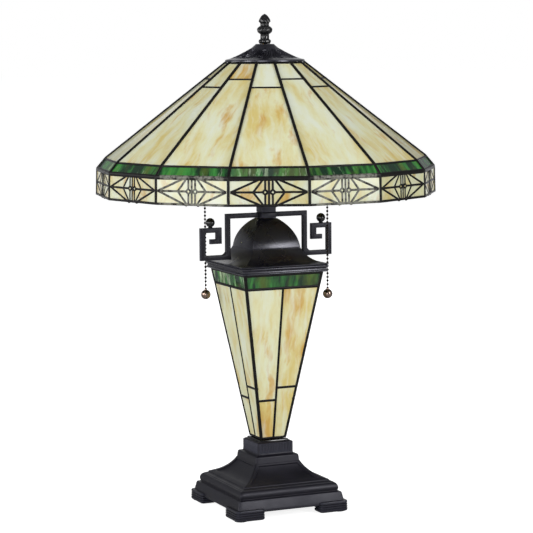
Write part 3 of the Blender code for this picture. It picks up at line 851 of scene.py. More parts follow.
def rib_tree():
    """A row of copies of a rib along X, repeated round the axis."""
    tree, given = new_tree("Ribs", [
        ("Int", ("Ribs", "Count")), ("Vector", ("First", "Step")), ("Float", ("Start",)),
        ("Material", ("Material",))])
    line = {"Count": given["Ribs"], "Start Location": given["First"], "Offset": given["Step"]}
    row = made(tree, "GeometryNodeMeshLine", line)
    copies = made(tree, "GeometryNodeInstanceOnPoints", {"Points": row, "Instance": given["Geometry"]})
    return finish_tree(tree, given, around_axis(tree, given, copies))


def tree_named(name, maker):
    return bpy.data.node_groups.get(name) or maker()


def pattern_mesh(lines):
    """A mesh of loose edges from lines of points in mm, x and y on the facet."""
    work = bmesh.new()
    for line in lines:
        verts = [work.verts.new([value * MM for value in (*p, 0.0)[:3]]) for p in line]
        for a, b in zip(verts, verts[1:]):
            work.edges.new((a, b))
    return mesh_from(work, "pattern")


def solder(lines, width, depth, wall=None, count=FACETS, start=0.0, spacing=2.5, sides=3):
    """A mesh of solder beads along flat lines, leant onto a wall and repeated round the axis."""
    settings = bpy.context.scene.lamp_lead
    matrix = wall or Matrix.Identity(4)
    values = {
        "Width": width * MM,
        "Depth": depth * MM,
        "Sides": sides,
        "Spacing": spacing * MM,
        "Unevenness": settings.hand * 2.0 * MM,
        "Lean": tuple(matrix.to_euler()),
        "Place": tuple(matrix.translation),
        "Count": count,
        "Start": start,
        "Material": finish_of("solder"),
    }
    return run_tree("solder_run", pattern_mesh(lines), tree_named("Solder beads", lead_tree), values)


def level_line(half, y):
    return [[(-half, y), (half, y)]]


def gathered(meshes, name):
    """One mesh from several, their faces kept smooth."""
    work = bmesh.new()
    for mesh in meshes:
        work.from_mesh(mesh)
        bpy.data.meshes.remove(mesh)
    mesh = mesh_from(work, name)
    mesh.shade_smooth()
    return mesh


# ---------------------------------------------------------------- the shade

def facet_frame(low, high, number, depth):
    return wall_matrix(facet_angle(number), apothem(low), apothem(high), depth)


class LAMP_OT_crown_glass(bpy.types.Operator):
    """Cuts the cream glass wedges of the shade, each in two pieces"""
    bl_idname = "lamp.crown_glass"
    bl_label = "Crown glass"

    def execute(self, context):
        seed = context.scene.lamp_glass.variety
        end = facet_length(BAND_HIGH, CROWN_HIGH)
        for number in range(FACETS):
            pile = GlassPile(seed * 100 + number)
            matrix = facet_frame(BAND_HIGH, CROWN_HIGH, number, glass_depth())
            seam = up_crown(crown_seam(number))
            low, high = pile.random.uniform(0.0, 0.5), pile.random.uniform(0.0, 0.6)
            low, high = {FACETS - 1: (0.4, 0.0), FACETS - 2: (0.3, 0.8)}.get(number, (low, high))
            pile.cut(facet_piece(BAND_HIGH, CROWN_HIGH, 0.9, 1.2, seam - 0.3), matrix, low)
            pile.cut(facet_piece(BAND_HIGH, CROWN_HIGH, 0.9, seam + 0.3, end - 0.4), matrix, high)
            node = f"shade_panel_{number + 1:02d}"
            keep(f"crown_glass_{number + 1:02d}", pile.mesh(), "cream", "shade", [node])
        return {"FINISHED"}


class LAMP_OT_band_glass(bpy.types.Operator):
    """Cuts the green course under the crown"""
    bl_idname = "lamp.band_glass"
    bl_label = "Green course"

    def execute(self, context):
        pile = GlassPile(context.scene.lamp_glass.variety + 31)
        end = facet_length(APRON_HIGH, BAND_HIGH)
        for number in range(FACETS):
            matrix = facet_frame(APRON_HIGH, BAND_HIGH, number, glass_depth())
            tone = 0.42 if number == FACETS - 1 else pile.random.uniform(0.0, 0.3)
            pile.cut(facet_piece(APRON_HIGH, BAND_HIGH, 0.9, 0.8, end - 0.8), matrix, tone)
        keep("band_glass", pile.mesh(), "green", "shade", ["shade_green_band"])
        return {"FINISHED"}


class LAMP_OT_apron_glass(bpy.types.Operator):
    """Cuts the small pieces of the star pattern round the rim"""
    bl_idname = "lamp.apron_glass"
    bl_label = "Apron glass"

    def execute(self, context):
        pile = GlassPile(context.scene.lamp_glass.variety + 57)
        middle = facet_length(APRON_LOW, APRON_HIGH) / 2.0
        for number in range(FACETS):
            matrix = facet_frame(APRON_LOW, APRON_HIGH, number, glass_depth())
            for outline in star_glass():
                for mirror in (1, -1):
                    placed = [(x * mirror, y + middle) for x, y in outline]
                    tone = pile.random.uniform(0.0, 0.6) * (0.15 if number in GLINT_FACETS else 1.0)
                    pile.cut(facing_out(placed), matrix, tone, pile.random.uniform(-0.5, 0.5))
        keep("apron_glass", pile.mesh(), "thin_cream", "shade", ["shade_apron"])
        return {"FINISHED"}


def star_lines():
    """Centre lines of the fine leads of one star, from the middle of its bottom edge."""
    s = star_corners()
    top = s["height"] / 2.0
    post, gem = s["post"], s["gem"]
    lines = [[(0.0, -top), (0.0, top)]]
    for side in (1, -1):
        around = [(post - gem, 0.0), (post, gem), (post + gem, 0.0), (post, -gem), (post - gem, 0.0)]
        half = [around, [(post + gem, 0.0), (s["tip"], 0.0)]]
        for sign in (1, -1):
            half.append([(post, gem * sign), (post, top * sign)])
            half.append([(s["inner"], top * sign), (s["waist"], 0.0)])
            half.append([(s["outer"], top * sign), (s["tip"], 0.0)])
        lines += [[(x * side, y) for x, y in line] for line in half]
    return [[(x, y + top) for x, y in line] for line in lines]


class LAMP_OT_shade_leads(bpy.types.Operator):
    """Runs the solder between all the pieces of the shade"""
    bl_idname = "lamp.shade_leads"
    bl_label = "Shade leads"

    def execute(self, context):
        lead = context.scene.lamp_lead
        thick = GLASS_THICKNESS + 2.0 * BEAD_STAND
        inset = glass_depth()
        corner_path = [[(r - inset, 0.0, z) for r, z in (APRON_LOW, APRON_HIGH, BAND_HIGH, CROWN_HIGH)]]
        runs = [solder(corner_path, lead.corner, thick + 0.6, start=facet_angle(0.5))]
        star_wall = wall_matrix(0.0, apothem(APRON_LOW), apothem(APRON_HIGH), inset)
        first = facet_angle(0)
        runs.append(solder(star_lines(), lead.fine, thick - 0.6, star_wall, start=first, sides=2))
        for low, high, y, width in self.rings(lead):
            wall = wall_matrix(0.0, apothem(low), apothem(high), inset)
            line = level_line(facet_half(low, high, y), y)
            runs.append(solder(line, width, thick + 0.4, wall, start=first))
        wall = wall_matrix(0.0, apothem(BAND_HIGH), apothem(CROWN_HIGH), inset)
        for number, z in enumerate((HIGH_SEAM, LOW_SEAM)):
            y = up_crown(z)
            line = level_line(facet_half(BAND_HIGH, CROWN_HIGH, y), y)
            runs.append(solder(line, lead.seam, thick, wall, FACETS // 2, facet_angle(number)))
        mesh = gathered(runs, "leads")
        # Marks the star leads of two facets for the painted silvery reflection
        painted_glint = mesh.attributes.new("painted_glint", "FLOAT", "POINT")
        for vert, value in zip(mesh.vertices, painted_glint.data):
            value.value = self.rubbed_and_sheened(vert.co)
        keep("shade_leads", mesh, "solder", "shade", ["shade_frame"])
        return {"FINISHED"}

    def rubbed_and_sheened(self, place):
        """How much painted silvery reflection the leads get at a point: 1 on the stars of two facets, 0
        elsewhere.
        """
        turn = (math.atan2(place.y, place.x) - facet_angle(0)) * FACETS / (2.0 * math.pi)
        on_corner = abs(turn - round(turn)) > 0.44
        over_apron = place.z > (APRON_HIGH[1] + 3.0) * MM
        return 0.0 if on_corner or over_apron or round(turn) % FACETS not in GLINT_FACETS else 1.0

    def rings(self, lead):
        """The level leads: (lower ring, upper ring, height up the facet between them, width)."""
        crown = facet_length(BAND_HIGH, CROWN_HIGH)
        apron = facet_length(APRON_LOW, APRON_HIGH)
        return [
            (APRON_LOW, APRON_HIGH, 1.2, 3.2),
            (APRON_LOW, APRON_HIGH, apron - 0.8, 6.2),
            (APRON_HIGH, BAND_HIGH, 0.8, 3.2),
            (BAND_HIGH, CROWN_HIGH, 0.3, lead.seam),
            (BAND_HIGH, CROWN_HIGH, crown - 0.5, 1.8),
        ]


def scroll_relief(angle, radius, height):
    """Embossed curls round the vase cap, between its neck and its rim."""
    share = (radius - 19.0) / (46.0 - 19.0)
    if share <= 0.0 or share >= 1.0:
        return 0.0
    fade = math.sin(math.pi * share) ** 0.6
    petals = 8
    across = (angle * petals / (2.0 * math.pi) + 0.35 * share) % 1.0 - 0.5
    curl = math.hypot(across * 1.9, share - 0.5)
    return 2.3 * fade * math.cos(curl * 27.0)


class LAMP_OT_shade_cap(bpy.types.Operator):
    """Spins the embossed cap over the hole of the shade"""
    bl_idname = "lamp.shade_cap"
    bl_label = "Vase cap"

    def execute(self, context):
        slope = arc((12.6, 626.5), (51.6, 606.7), -3.1, 44)
        rim = [(52.4, 606.4), (53.2, 605.6), (53.2, 604.0), (52.6, 603.5), (50.6, 603.5)]
        under = arc((50.4, 605.4), (11.0, 624.4), 3.2, 12)
        sleeve = [(8.0, 624.2), (8.0, 598.4), (7.6, 597.9), (5.9, 597.9), (5.6, 598.3), (5.6, 626.6)]
        sleeve += [(6.0, 627.0)]
        profile = [(11.9, 627.0), (12.4, 626.8)] + slope + rim + under + sleeve
        work = lathe(profile, 224, self.relief)
        keep("vase_cap", mesh_from(work, "cap", 35.0), "roof", "shade", ["shade_cap"])
        return {"FINISHED"}

    def relief(self, angle, radius, height):
        on_top = height > 627.0 - (radius - 12.0) * 0.51 - 3.7 and radius > 12.5
        return scroll_relief(angle, radius, height) if on_top and radius < 51.0 else 0.0


def finial_relief(angle, radius, height):
    """Leaves cast on the finial: a ring of buds on the bulb, pointed leaves over it."""
    if 639.8 < height < 651.0:
        share = (height - 639.8) / 11.2
        petal = math.cos(6.0 * angle + 2.2 * math.sin(math.pi * share))
        vein = math.cos(18.0 * angle + 9.0 * share)
        return math.sin(math.pi * share) * (0.4 * petal + 0.25 * vein)
    if 651.0 <= height < 655.0:
        return 0.45 * math.cos(8.0 * angle) * math.sin(math.pi * (height - 651.0) / 4.0)
    if 655.0 <= height < 665.5:
        share = (height - 655.0) / 10.5
        spike = abs(math.cos(3.0 * angle + 0.6 * share)) ** 1.5
        leaf = math.cos(6.0 * angle + 7.5 * share)
        return (1.0 - share) * (0.9 * spike - 0.5) + 0.35 * math.sin(math.pi * share) * leaf
    if 627.4 < height < 633.0:
        return 0.35 * abs(math.cos(3.0 * angle)) - 0.2
    return 0.0


class LAMP_OT_finial(bpy.types.Operator):
    """Casts the finial with its buds and leaves"""
    bl_idname = "lamp.finial"
    bl_label = "Finial"

    def execute(self, context):
        tip = arc((0.0, 667.0), (7.6, 656.6), 1.9, 22)
        collar = arc((7.8, 656.2), (6.0, 651.4), -1.0, 8)
        bulb = arc((6.0, 650.9), (6.4, 640.2), 3.6, 20)
        stem = [(5.9, 639.6), (5.9, 634.0), (6.4, 633.2)] + arc((7.4, 632.8), (7.4, 628.0), 1.0, 6)
        bore = [(7.0, 627.2), (3.7, 627.1), (3.5, 627.5), (3.5, 641.0), (0.0, 641.0)]
        work = lathe(tip + collar + bulb + stem + bore, 96, finial_relief)
        mesh = mesh_from(work, "finial", 50.0)
        keep("leaf_finial", mesh, "gloss", "finial", ["finial"])
        return {"FINISHED"}


# ---------------------------------------------------------------- the column

def column_wall(angle, depth):
    return wall_matrix(angle, COLUMN_LOW, COLUMN_HIGH, depth)


def across_order(corners):
    """Four corners of a piece, taken anticlockwise from the lower left."""
    low, high = sorted({round(y, 6) for x, y in corners})
    lower = sorted(c for c in corners if round(c[1], 6) == low)
    upper = sorted((c for c in corners if round(c[1], 6) == high), reverse=True)
    return lower + upper


def column_pieces(side, z0, z1, inner, outer):
    """One piece of a column face on one side of its middle seam, drawn in by inner and outer."""
    low = (column_half(z0) - outer, up_column(z0))
    high = (column_half(z1) - outer, up_column(z1))
    return facing_out([(x * side, y) for x, y in [(inner, low[1]), low, high, (inner, high[1])]])


class LAMP_OT_column_glass(bpy.types.Operator):
    """Cuts the glass of the four faces of the column"""
    bl_idname = "lamp.column_glass"
    bl_label = "Column glass"

    def execute(self, context):
        seed = context.scene.lamp_glass.variety
        green = GlassPile(seed + 77)
        outer = glass_depth() + GLASS_THICKNESS / 2.0 + 0.2
        for number, face in enumerate(("front", "right", "back", "left")):
            pile = GlassPile(seed * 50 + number)
            matrix = column_wall(math.radians(-90.0 + 90.0 * number), glass_depth())
            for side, seam in ((-1, LEFT_SEAM), (1, RIGHT_SEAM)):
                front = face == "front"
                low = column_pieces(side, COLUMN_LOW[1] + 1.2, seam - 0.4, 0.4, outer)
                pile.cut(low, matrix, 1.0 if front and side < 0 else pile.random.uniform(0.0, 0.5))
                high = column_pieces(side, seam + 0.4, COLUMN_BAND - 0.4, 0.4, outer)
                pile.cut(high, matrix, 0.65 if front and side > 0 else pile.random.uniform(0.0, 0.35))
            right = column_pieces(1, COLUMN_BAND + 0.4, COLUMN_HIGH[1] - 0.6, 0.0, outer)
            across = [(-x, y) for x, y in right if x] + [(x, y) for x, y in right if x]
            tone = {"front": 0.0, "left": 0.45}.get(face, 0.15)
            green.cut(across_order(across), matrix, tone)
            node = f"column_glass_{face}"
            keep(f"column_face_{face}", pile.mesh(), "cream", "lamp", [node])
        keep("column_band_glass", green.mesh(), "green", "lamp", ["column_green_band"])
        return {"FINISHED"}


class LAMP_OT_column_leads(bpy.types.Operator):
    """Runs the solder of the column"""
    bl_idname = "lamp.column_leads"
    bl_label = "Column leads"

    def execute(self, context):
        inset = glass_depth()
        thick = GLASS_THICKNESS + 2.0 * BEAD_STAND
        wall = column_wall(0.0, inset)
        root = math.sqrt(2.0)
        ends = (COLUMN_LOW[1] + 2.6, COLUMN_HIGH[1] - 0.6)
        corner = [[((column_half(z) - inset) * root, 0.0, z) for z in ends]]
        runs = [solder(corner, 4.3, 4.6, count=4, start=math.radians(45.0), sides=4)]
        bottom = up_column(COLUMN_LOW[1] + 1.6)
        top = up_column(COLUMN_HIGH[1] - 1.4)
        band = up_column(COLUMN_BAND)
        lines = [[(0.0, bottom), (0.0, band)]]
        for side, seam in ((-1, LEFT_SEAM), (1, RIGHT_SEAM)):
            lines.append([(0.0, up_column(seam)), ((column_half(seam) - 1.0) * side, up_column(seam))])
        runs.append(solder(lines, 3.6, thick, wall, 4))
        level = ((bottom, COLUMN_LOW[1], 3.2), (band, COLUMN_BAND, 4.2), (top, COLUMN_HIGH[1], 3.0))
        for y, z, width in level:
            runs.append(solder(level_line(column_half(z) - 1.6, y), width, thick, wall, 4))
        keep("column_leads", gathered(runs, "leads"), "solder", "lamp", ["column_frame"])
        return {"FINISHED"}


class LAMP_OT_column_mounts(bpy.types.Operator):
    """Casts the foot ring, the beaded rim, the flared roof and its dome"""
    bl_idname = "lamp.column_mounts"
    bl_label = "Column rim and roof"

    def execute(self, context):
        foot = arc((20.2, 94.4), (21.3, 93.4), 0.2, 5)
        foot += [(21.4, 92.8), (PIPE_HOLE, 92.8), (PIPE_HOLE, 94.4)]
        self.cast("foot_ring", foot, "column_foot_ring", 0.7, "gloss")
        upper = [(61.4, 333.7)] + arc((61.9, 333.5), (61.9, 330.4), 1.25, 7)
        hollow = arc((61.6, 330.1), (61.4, 327.4), -0.35, 5)
        lower = arc((61.5, 327.1), (61.2, 324.3), 1.15, 7)
        rim = upper + hollow + lower + [(50.0, 324.2), (50.0, 333.7)]
        self.cast("channel_rim", rim, "column_top_rim", 0.8, "roof")
        outer = [(33.4, 355.4), (34.9, 355.3)] + arc((35.2, 354.4), (61.8, 335.6), -4.6, 22)
        outer += arc((62.6, 335.4), (62.6, 333.9), 0.7, 4)
        inner = [(57.0, 333.9)] + arc((54.0, 336.0), (32.0, 352.6), 4.2, 8) + [(32.0, 355.2)]
        self.cast("flared_roof", outer + inner, "roof_flare", 0.9, "roof")
        outer = [(PIPE_HOLE, 394.0)] + arc((11.6, 394.0), (34.6, 356.6), 4.8, 26) + [(34.9, 355.7)]
        inner = [(31.6, 355.7)] + arc((31.6, 357.0), (12.0, 390.0), -4.0, 8) + [(PIPE_HOLE, 391.4)]
        self.cast("domed_roof", outer + inner, "roof_dome", 1.2, "roof")
        return {"FINISHED"}

    def cast(self, name, profile, node, corner, finish="casting"):
        mesh = mesh_from(square_loft(profile, corner), name, 32.0)
        keep(name, mesh, finish, "lamp", [node])


# ---------------------------------------------------------------- neck and arms

ARM_BAR = 6.5
ARM_ROOT = 11.1
ARM_TOP = 401.8
ARM_FOOT = 340.5
ARM_INNER = 53.3
ARM_OUTER = 96.6
ARM_SHOULDER = 384.0


def arm_outline():
    """The right-hand Greek key scroll: out, down, out along the bottom, up and curled in."""
    bar = ARM_BAR
    upright = ARM_INNER + bar
    floor = ARM_FOOT + bar
    wall = ARM_OUTER - bar - 0.9
    curl = ARM_SHOULDER - bar
    left = 66.0
    return [
        (ARM_ROOT, ARM_TOP),
        (upright, ARM_TOP),
        *arc((upright, floor + 4.5), (upright + 7.5, floor), -1.5, 8),
        (wall, floor),
        (wall, curl),
        (left + bar + 1.3, curl),
        (left + bar + 1.3, 368.7),
        (82.5, 368.7),
        (82.5, 362.3),
        (left, 362.3),
        (left, ARM_SHOULDER),
        (ARM_OUTER, ARM_SHOULDER),
        (ARM_OUTER, ARM_FOOT),
        (52.2, ARM_FOOT),
        (ARM_INNER, 345.5),
        (ARM_INNER, ARM_TOP - bar),
        (ARM_ROOT, ARM_TOP - bar),
    ]


def bevelled_plate(outline, thickness, bevel):
    """A flat plate in XZ with its edges rounded, made as a filled curve turned to a mesh."""
    curve = bpy.data.curves.new("plate", "CURVE")
    curve.dimensions = "2D"
    curve.fill_mode = "BOTH"
    curve.offset = -bevel * MM
    curve.extrude = (thickness / 2.0 - bevel) * MM
    curve.bevel_depth = bevel * MM
    curve.bevel_resolution = 2
    spline = curve.splines.new("POLY")
    spline.points.add(len(outline) - 1)
    for point, (x, z) in zip(spline.points, outline):
        point.co = (x * MM, z * MM, 0.0, 1.0)
    spline.use_cyclic_u = True
    obj = bpy.data.objects.new("plate", curve)
    bpy.context.scene.collection.objects.link(obj)
    mesh = plain_mesh(obj)
    work = bmesh.new()
    work.from_mesh(mesh)
    bpy.data.meshes.remove(mesh)
    bmesh.ops.remove_doubles(work, verts=work.verts, dist=0.00001)
    bmesh.ops.recalc_face_normals(work, faces=work.faces)
    work.transform(Matrix.Rotation(math.radians(90.0), 4, "X"))
    return work


class LAMP_OT_arms(bpy.types.Operator):
    """Casts the two scroll arms and their balls"""
    bl_idname = "lamp.arms"
    bl_label = "Scroll arms"

    def execute(self, context):
        for side, name in ((-1, "left"), (1, "right")):
            outline = facing_out([(x * side, z) for x, z in arm_outline()])
            mesh = mesh_from(bevelled_plate(outline, 6.0, 0.8), "arm", 40.0)
            keep(f"scroll_arm_{name}", mesh, "casting", "lamp", [f"arm_{name}"])
            neck = [(2.6, 385.4), (3.2, 384.6), (3.0, 384.2), (0.0, 384.2)]
            work = lathe(round_line(391.1, 6.2, 90.0, -64.0, 18) + neck, 40)
            work.transform(Matrix.Translation((side * 81.6 * MM, 0.0, 0.0)))
            keep(f"scroll_ball_{name}", mesh_from(work, "ball", 40.0), "gloss", "lamp",
                 [f"arm_ball_{name}"])
        return {"FINISHED"}


class LAMP_OT_neck(bpy.types.Operator):
    """Makes the square stem over the dome"""
    bl_idname = "lamp.neck"
    bl_label = "Neck"

    def execute(self, context):
        collar = eased([(9.6, 402.0), (10.6, 401.4), (10.6, 395.0), (9.8, 394.4)], 0.5)
        inner = [(PIPE_HOLE, 394.4), (PIPE_HOLE, 402.0)]
        mesh = mesh_from(square_loft(collar + inner, 1.0), "collar", 32.0)
        keep("square_collar", mesh, "casting", "lamp", ["neck_collar"])
        tube = [(9.9, 441.6), (10.2, 441.3), (10.2, 402.6), (9.9, 402.3)]
        tube += [(PIPE_HOLE, 402.3), (PIPE_HOLE, 441.6)]
        mesh = mesh_from(square_loft(tube, 1.0), "neck", 32.0)
        keep("square_neck", mesh, "casting", "lamp", ["neck_tube"])
        return {"FINISHED"}


# ---------------------------------------------------------------- the base

SLOPE_STEPS = 36
CORNERS = {"front_left": (-1, -1), "front_right": (1, -1), "back_right": (1, 1), "back_left": (-1, 1)}


def base_profile():
    """The moulded outside of the base down to its bottom edge, then the inside up again."""
    block = [(21.7, 92.4)] + arc((22.1, 92.3), (25.5, 88.6), 0.9, 7)
    block += [(25.9, 76.4), (26.4, 75.4), (27.0, 74.9)]
    step = arc((29.8, 74.3), (31.6, 71.8), 0.6, 5) + [(31.9, 70.4), (32.2, 66.6), (32.4, 65.6)]
    slope = arc((32.8, 65.2), (57.0, 44.1), -2.9, SLOPE_STEPS)
    ledge = [(57.7, 43.8), (58.1, 43.5), (62.2, 42.1), (62.6, 41.7), (62.8, 40.6), (63.4, 40.2)]
    ledge += [(67.0, 39.0), (67.4, 38.3), (68.2, 38.1)]
    torus = arc((68.8, 37.9), (71.2, 28.2), 1.7, 16)
    cove = [(71.3, 27.5), (72.0, 27.0), (73.8, 26.6)]
    skirt = [(74.8, 26.1), (75.4, 24.9), (77.6, 14.6), (77.9, 13.4), (77.9, 11.0), (77.4, 10.4)]
    inside = [(74.4, 10.4), (73.9, 16.4), (71.2, 21.5), (65.0, 31.5)]
    inside += arc((62.0, 34.5), (29.6, 60.0), 4.0, 8)
    top = [(22.5, 72.0), (21.6, 88.2), (PIPE_HOLE, 88.7), (PIPE_HOLE, 92.4)]
    return block + step + slope + ledge + torus + cove + skirt + inside + top, len(block + step)


def base_columns(flat):
    """Where each face of the base is divided: at its corners and at the edges of the sunk panel."""
    border = 4.4
    bevel = 0.8
    half = [flat - border, flat - border - bevel]
    return [-flat, -half[0], -half[1], 0.0, half[1], half[0], flat]


def corner_foot(inset, sx, sy):
    """The L-shaped plan of one foot, everything drawn in by the inset, its outer corners rounded."""
    near = 40.5 + inset
    inner = 62.0 + inset
    outer = 82.0 - inset
    points = [(inner, inner), (near, inner)] + arc((near, outer - 4.0), (near + 4.0, outer), 1.2, 4)
    points += arc((outer - 6.0, outer), (outer, outer - 6.0), 2.2, 6)
    points += arc((outer, near + 4.0), (outer - 4.0, near), 1.2, 4) + [(inner, near)]
    places = [(x * sx, y * sy) for x, y in points]
    return places if sx * sy < 0 else list(reversed(places))


class LAMP_OT_base(bpy.types.Operator):
    """Casts the stepped base with its sunk panels, reeded block and ridged feet"""
    bl_idname = "lamp.base"
    bl_label = "Base"

    def execute(self, context):
        profile, first = base_profile()
        self.first = first
        mesh = mesh_from(square_loft(profile, 1.2, base_columns, self.panel), "base", 28.0)
        keep("moulded_base", mesh, "casting", "lamp", ["base_casting"])
        self.feet()
        self.reeds(context)
        return {"FINISHED"}

    def panel(self, ring, column):
        """Depth of the trapezoid panel sunk in the hollow slope."""
        share = (ring - self.first) / SLOPE_STEPS
        if column not in (2, 3, 4) or not 0.09 < share < 0.97:
            return 0.0
        return 1.7

    def feet(self):
        works = []
        levels = [(1.8, 15.2), (0.6, 14.9), (0.2, 14.1), (0.2, 12.0), (1.2, 11.6), (1.2, 11.0), (0.1, 10.6)]
        levels += [(0.1, 9.0), (1.1, 8.6), (1.1, 8.0), (0.0, 7.6), (0.0, 6.0), (1.0, 5.6), (1.0, 5.0)]
        levels += [(0.0, 4.7), (0.0, 2.4), (0.4, 1.4), (1.2, 0.8)]
        for sx, sy in CORNERS.values():
            works.append(stacked(levels, lambda inset: corner_foot(inset, sx, sy)))
        keep("ridged_feet", joined(works, "feet", 30.0), "casting", "lamp")

    def reeds(self, context):
        count = 21
        pitch = 2.3
        profile = [(0.0, 91.2), (0.6, 90.9), (0.9, 90.0), (0.9, 77.2), (0.0, 76.4)]
        rib = mesh_from(lathe(profile, 12), "rib", 40.0)
        values = {
            "Ribs": count,
            "First": (-(count - 1) / 2.0 * pitch * MM, -25.75 * MM, 0.0),
            "Step": (pitch * MM, 0.0, 0.0),
            "Count": 4,
            "Start": 0.0,
            "Material": finish_of("casting"),
        }
        mesh = run_tree("reeds", rib, tree_named("Ribs", rib_tree), values)
        keep("block_reeds", mesh, "casting", "lamp")


class LAMP_OT_underside(bpy.types.Operator):
    """Finishes what is seen from below and behind the base"""
    bl_idname = "lamp.underside"
    bl_label = "Underside"

    def execute(self, context):
        profile = [(0.0, 0.5), (8.3, 0.5), (8.5, 0.4), (8.5, 0.1), (8.3, 0.0), (6.5, 0.0), (6.3, 0.2)]
        profile += [(4.7, 0.2), (4.5, 0.0), (0.0, 0.0)]
        for side, (sx, sy) in CORNERS.items():
            work = lathe(profile, 40)
            work.transform(Matrix.Translation((sx * 72.0 * MM, sy * 72.0 * MM, 0.0)))
            pad = mesh_from(work, "pad", 40.0)
            keep(f"rubber_pad_{side}", pad, "rubber", "lamp", [f"foot_pad_{side}"])
        bush = [(2.2, 80.0), (5.0, 80.0), (5.6, 79.4), (5.6, 78.3), (3.9, 78.3), (3.9, 73.4), (2.2, 73.4)]
        work = lathe(eased(bush, 0.3), 32)
        lay_along(work, math.radians(90.0), 18.6)
        keep("inlet_bush", mesh_from(work, "bush", 40.0), "rubber", "lamp", ["cord_inlet_bush"])
        refinish("base_cover_plate", "sheet")
        refinish("base_locknut", "brass")
        return {"FINISHED"}


# ---------------------------------------------------------------- under the shade

def chain_place(angle):
    return Matrix.Translation((math.cos(angle) * CHAIN_OUT * MM, math.sin(angle) * CHAIN_OUT * MM, 0.0))


SIDES = (("right", SOCKET_LINE), ("left", SOCKET_LINE + math.pi))


class LAMP_OT_sockets(bpy.types.Operator):
    """Makes the sockets, their bulbs and the body that carries them"""
    bl_idname = "lamp.sockets"
    bl_label = "Sockets and bulbs"

    def execute(self, context):
        body = [(5.6, 480.0), (9.0, 480.0), (15.5, 474.0), (15.5, 450.0), (11.0, 442.0), (5.6, 442.0)]
        works = [lathe(eased(body, 1.5, 4), 48)]
        for name, angle in SIDES:
            stub = lathe([(0.0, 37.6), (5.6, 37.6), (6.0, 37.2), (6.0, 12.0), (0.0, 12.0)], 32)
            lay_along(stub, angle, SOCKET_Z)
            works.append(stub)
            self.socket(name, angle)
            self.bulb(name, angle)
        keep("cluster", joined(works, "cluster", 35.0), "gloss", "lamp", ["cluster_body"])
        return {"FINISHED"}

    def socket(self, name, angle):
        cup = [(0.0, 60.0), (16.4, 60.0), (16.4, 98.0), (18.6, 98.0), (19.0, 97.4), (19.0, 92.0), (18.2, 91.4)]
        cup += [(18.2, 64.0), (19.0, 63.4), (19.0, 50.0)] + arc((18.6, 48.8), (9.6, 38.6), 2.0, 8)
        cup += [(9.0, 38.0), (0.0, 38.0)]
        shell = lathe(cup, 48)
        lay_along(shell, angle, SOCKET_Z)
        bell = lathe([(0.0, 444.9), (5.0, 444.9), (5.0, 438.5), (4.6, 437.2), (3.6, 432.0), (3.4, 431.0),
                      (2.3, 431.0), (2.3, 442.0), (0.0, 442.0)], 32)
        bell.transform(chain_place(angle))
        keep(f"socket_shell_{name}", joined([shell, bell], "socket", 35.0), "brass", "lamp",
             [f"socket_{name}"])

    def bulb(self, name, angle):
        neck = [(19.0, 133.6), (16.4, 124.0), (14.2, 112.0), (13.2, 100.0), (12.9, 96.0), (12.9, 66.0)]
        inside = [(11.9, 66.0), (11.9, 99.0), (13.0, 112.0), (17.6, 133.0)]
        inside += round_line(158.0, 28.8, -48.0, 90.0, 14)
        work = lathe(round_line(158.0, 30.0, 90.0, -46.0, 22) + neck + inside, 56)
        lay_along(work, angle, SOCKET_Z)
        keep(f"frosted_bulb_{name}", mesh_from(work, "bulb", 40.0), "bulb", f"{name}_bulb",
             [f"bulb_{name}"])


class LAMP_OT_pulls(bpy.types.Operator):
    """Strings the bead chains with their balls"""
    bl_idname = "lamp.pulls"
    bl_label = "Pull chains"

    def execute(self, context):
        for name, angle in SIDES:
            eye = CHAIN_TOP + 0.3
            link = [(0.0, 440.5), (1.6, 440.4), (1.6, 431.0), (1.9, 430.0), (2.6, 429.0), (2.6, 425.2)]
            work = lathe(link + [(2.2, eye), (0.0, eye)], 24)
            work.transform(chain_place(angle))
            mesh = mesh_from(work, "link", 40.0)
            keep(f"chain_bell_{name}", mesh, "chain", f"{name}_pull_link", [f"pull_link_{name}"])
            low = BALL_Z + BALL_R + 1.2
            values = {"Pitch": 4.9 * MM, "Bead": 1.65 * MM, "Wire": 0.45 * MM}
            values["Material"] = finish_of("chain")
            source = pattern_mesh([[(0.0, 0.0, low), (0.0, 0.0, CHAIN_TOP - 1.6)]])
            mesh = run_tree("chain", source, tree_named("Bead chain", bead_chain_tree), values)
            mesh.transform(chain_place(angle))
            keep(f"bead_chain_{name}", mesh, "chain", f"{name}_chain", [f"pull_chain_{name}"])
            neck = [(0.0, BALL_Z + BALL_R + 1.4), (1.5, BALL_Z + BALL_R + 1.2), (1.7, BALL_Z + 6.3)]
            ball = lathe(neck + round_line(BALL_Z, BALL_R, 74.0, -90.0, 20), 40)
            ball.transform(chain_place(angle))
            mesh = mesh_from(ball, "ball", 40.0)
            keep(f"pull_ball_{name}", mesh, "ball", f"{name}_chain", [f"chain_ball_{name}"])
        return {"FINISHED"}


class LAMP_OT_hidden_fixings(bpy.types.Operator):
    """Finishes the pipe, the spider, the nuts and the night-light"""
    bl_idname = "lamp.hidden_fixings"
    bl_label = "Hidden fixings"

    def execute(self, context):
        for node in ("lamp_pipe", "shade_spider", "shade_seat_nut", "nightlight_holder"):
            refinish(node, "brass")
        refinish("nightlight_bulb", "bulb")
        return {"FINISHED"}


# ---------------------------------------------------------------- the stage

def area_light(name, place, target, size, power):
    data = bpy.data.lights.new(name, "AREA")
    data.shape = "RECTANGLE"
    data.size = size[0]
    data.size_y = size[1]
    data.energy = power
    obj = bpy.data.objects.new(name, data)
    bpy.context.scene.collection.objects.link(obj)
    obj.location = place
    obj.rotation_euler = (Vector(target) - Vector(place)).to_track_quat("-Z", "Y").to_euler()
    return obj


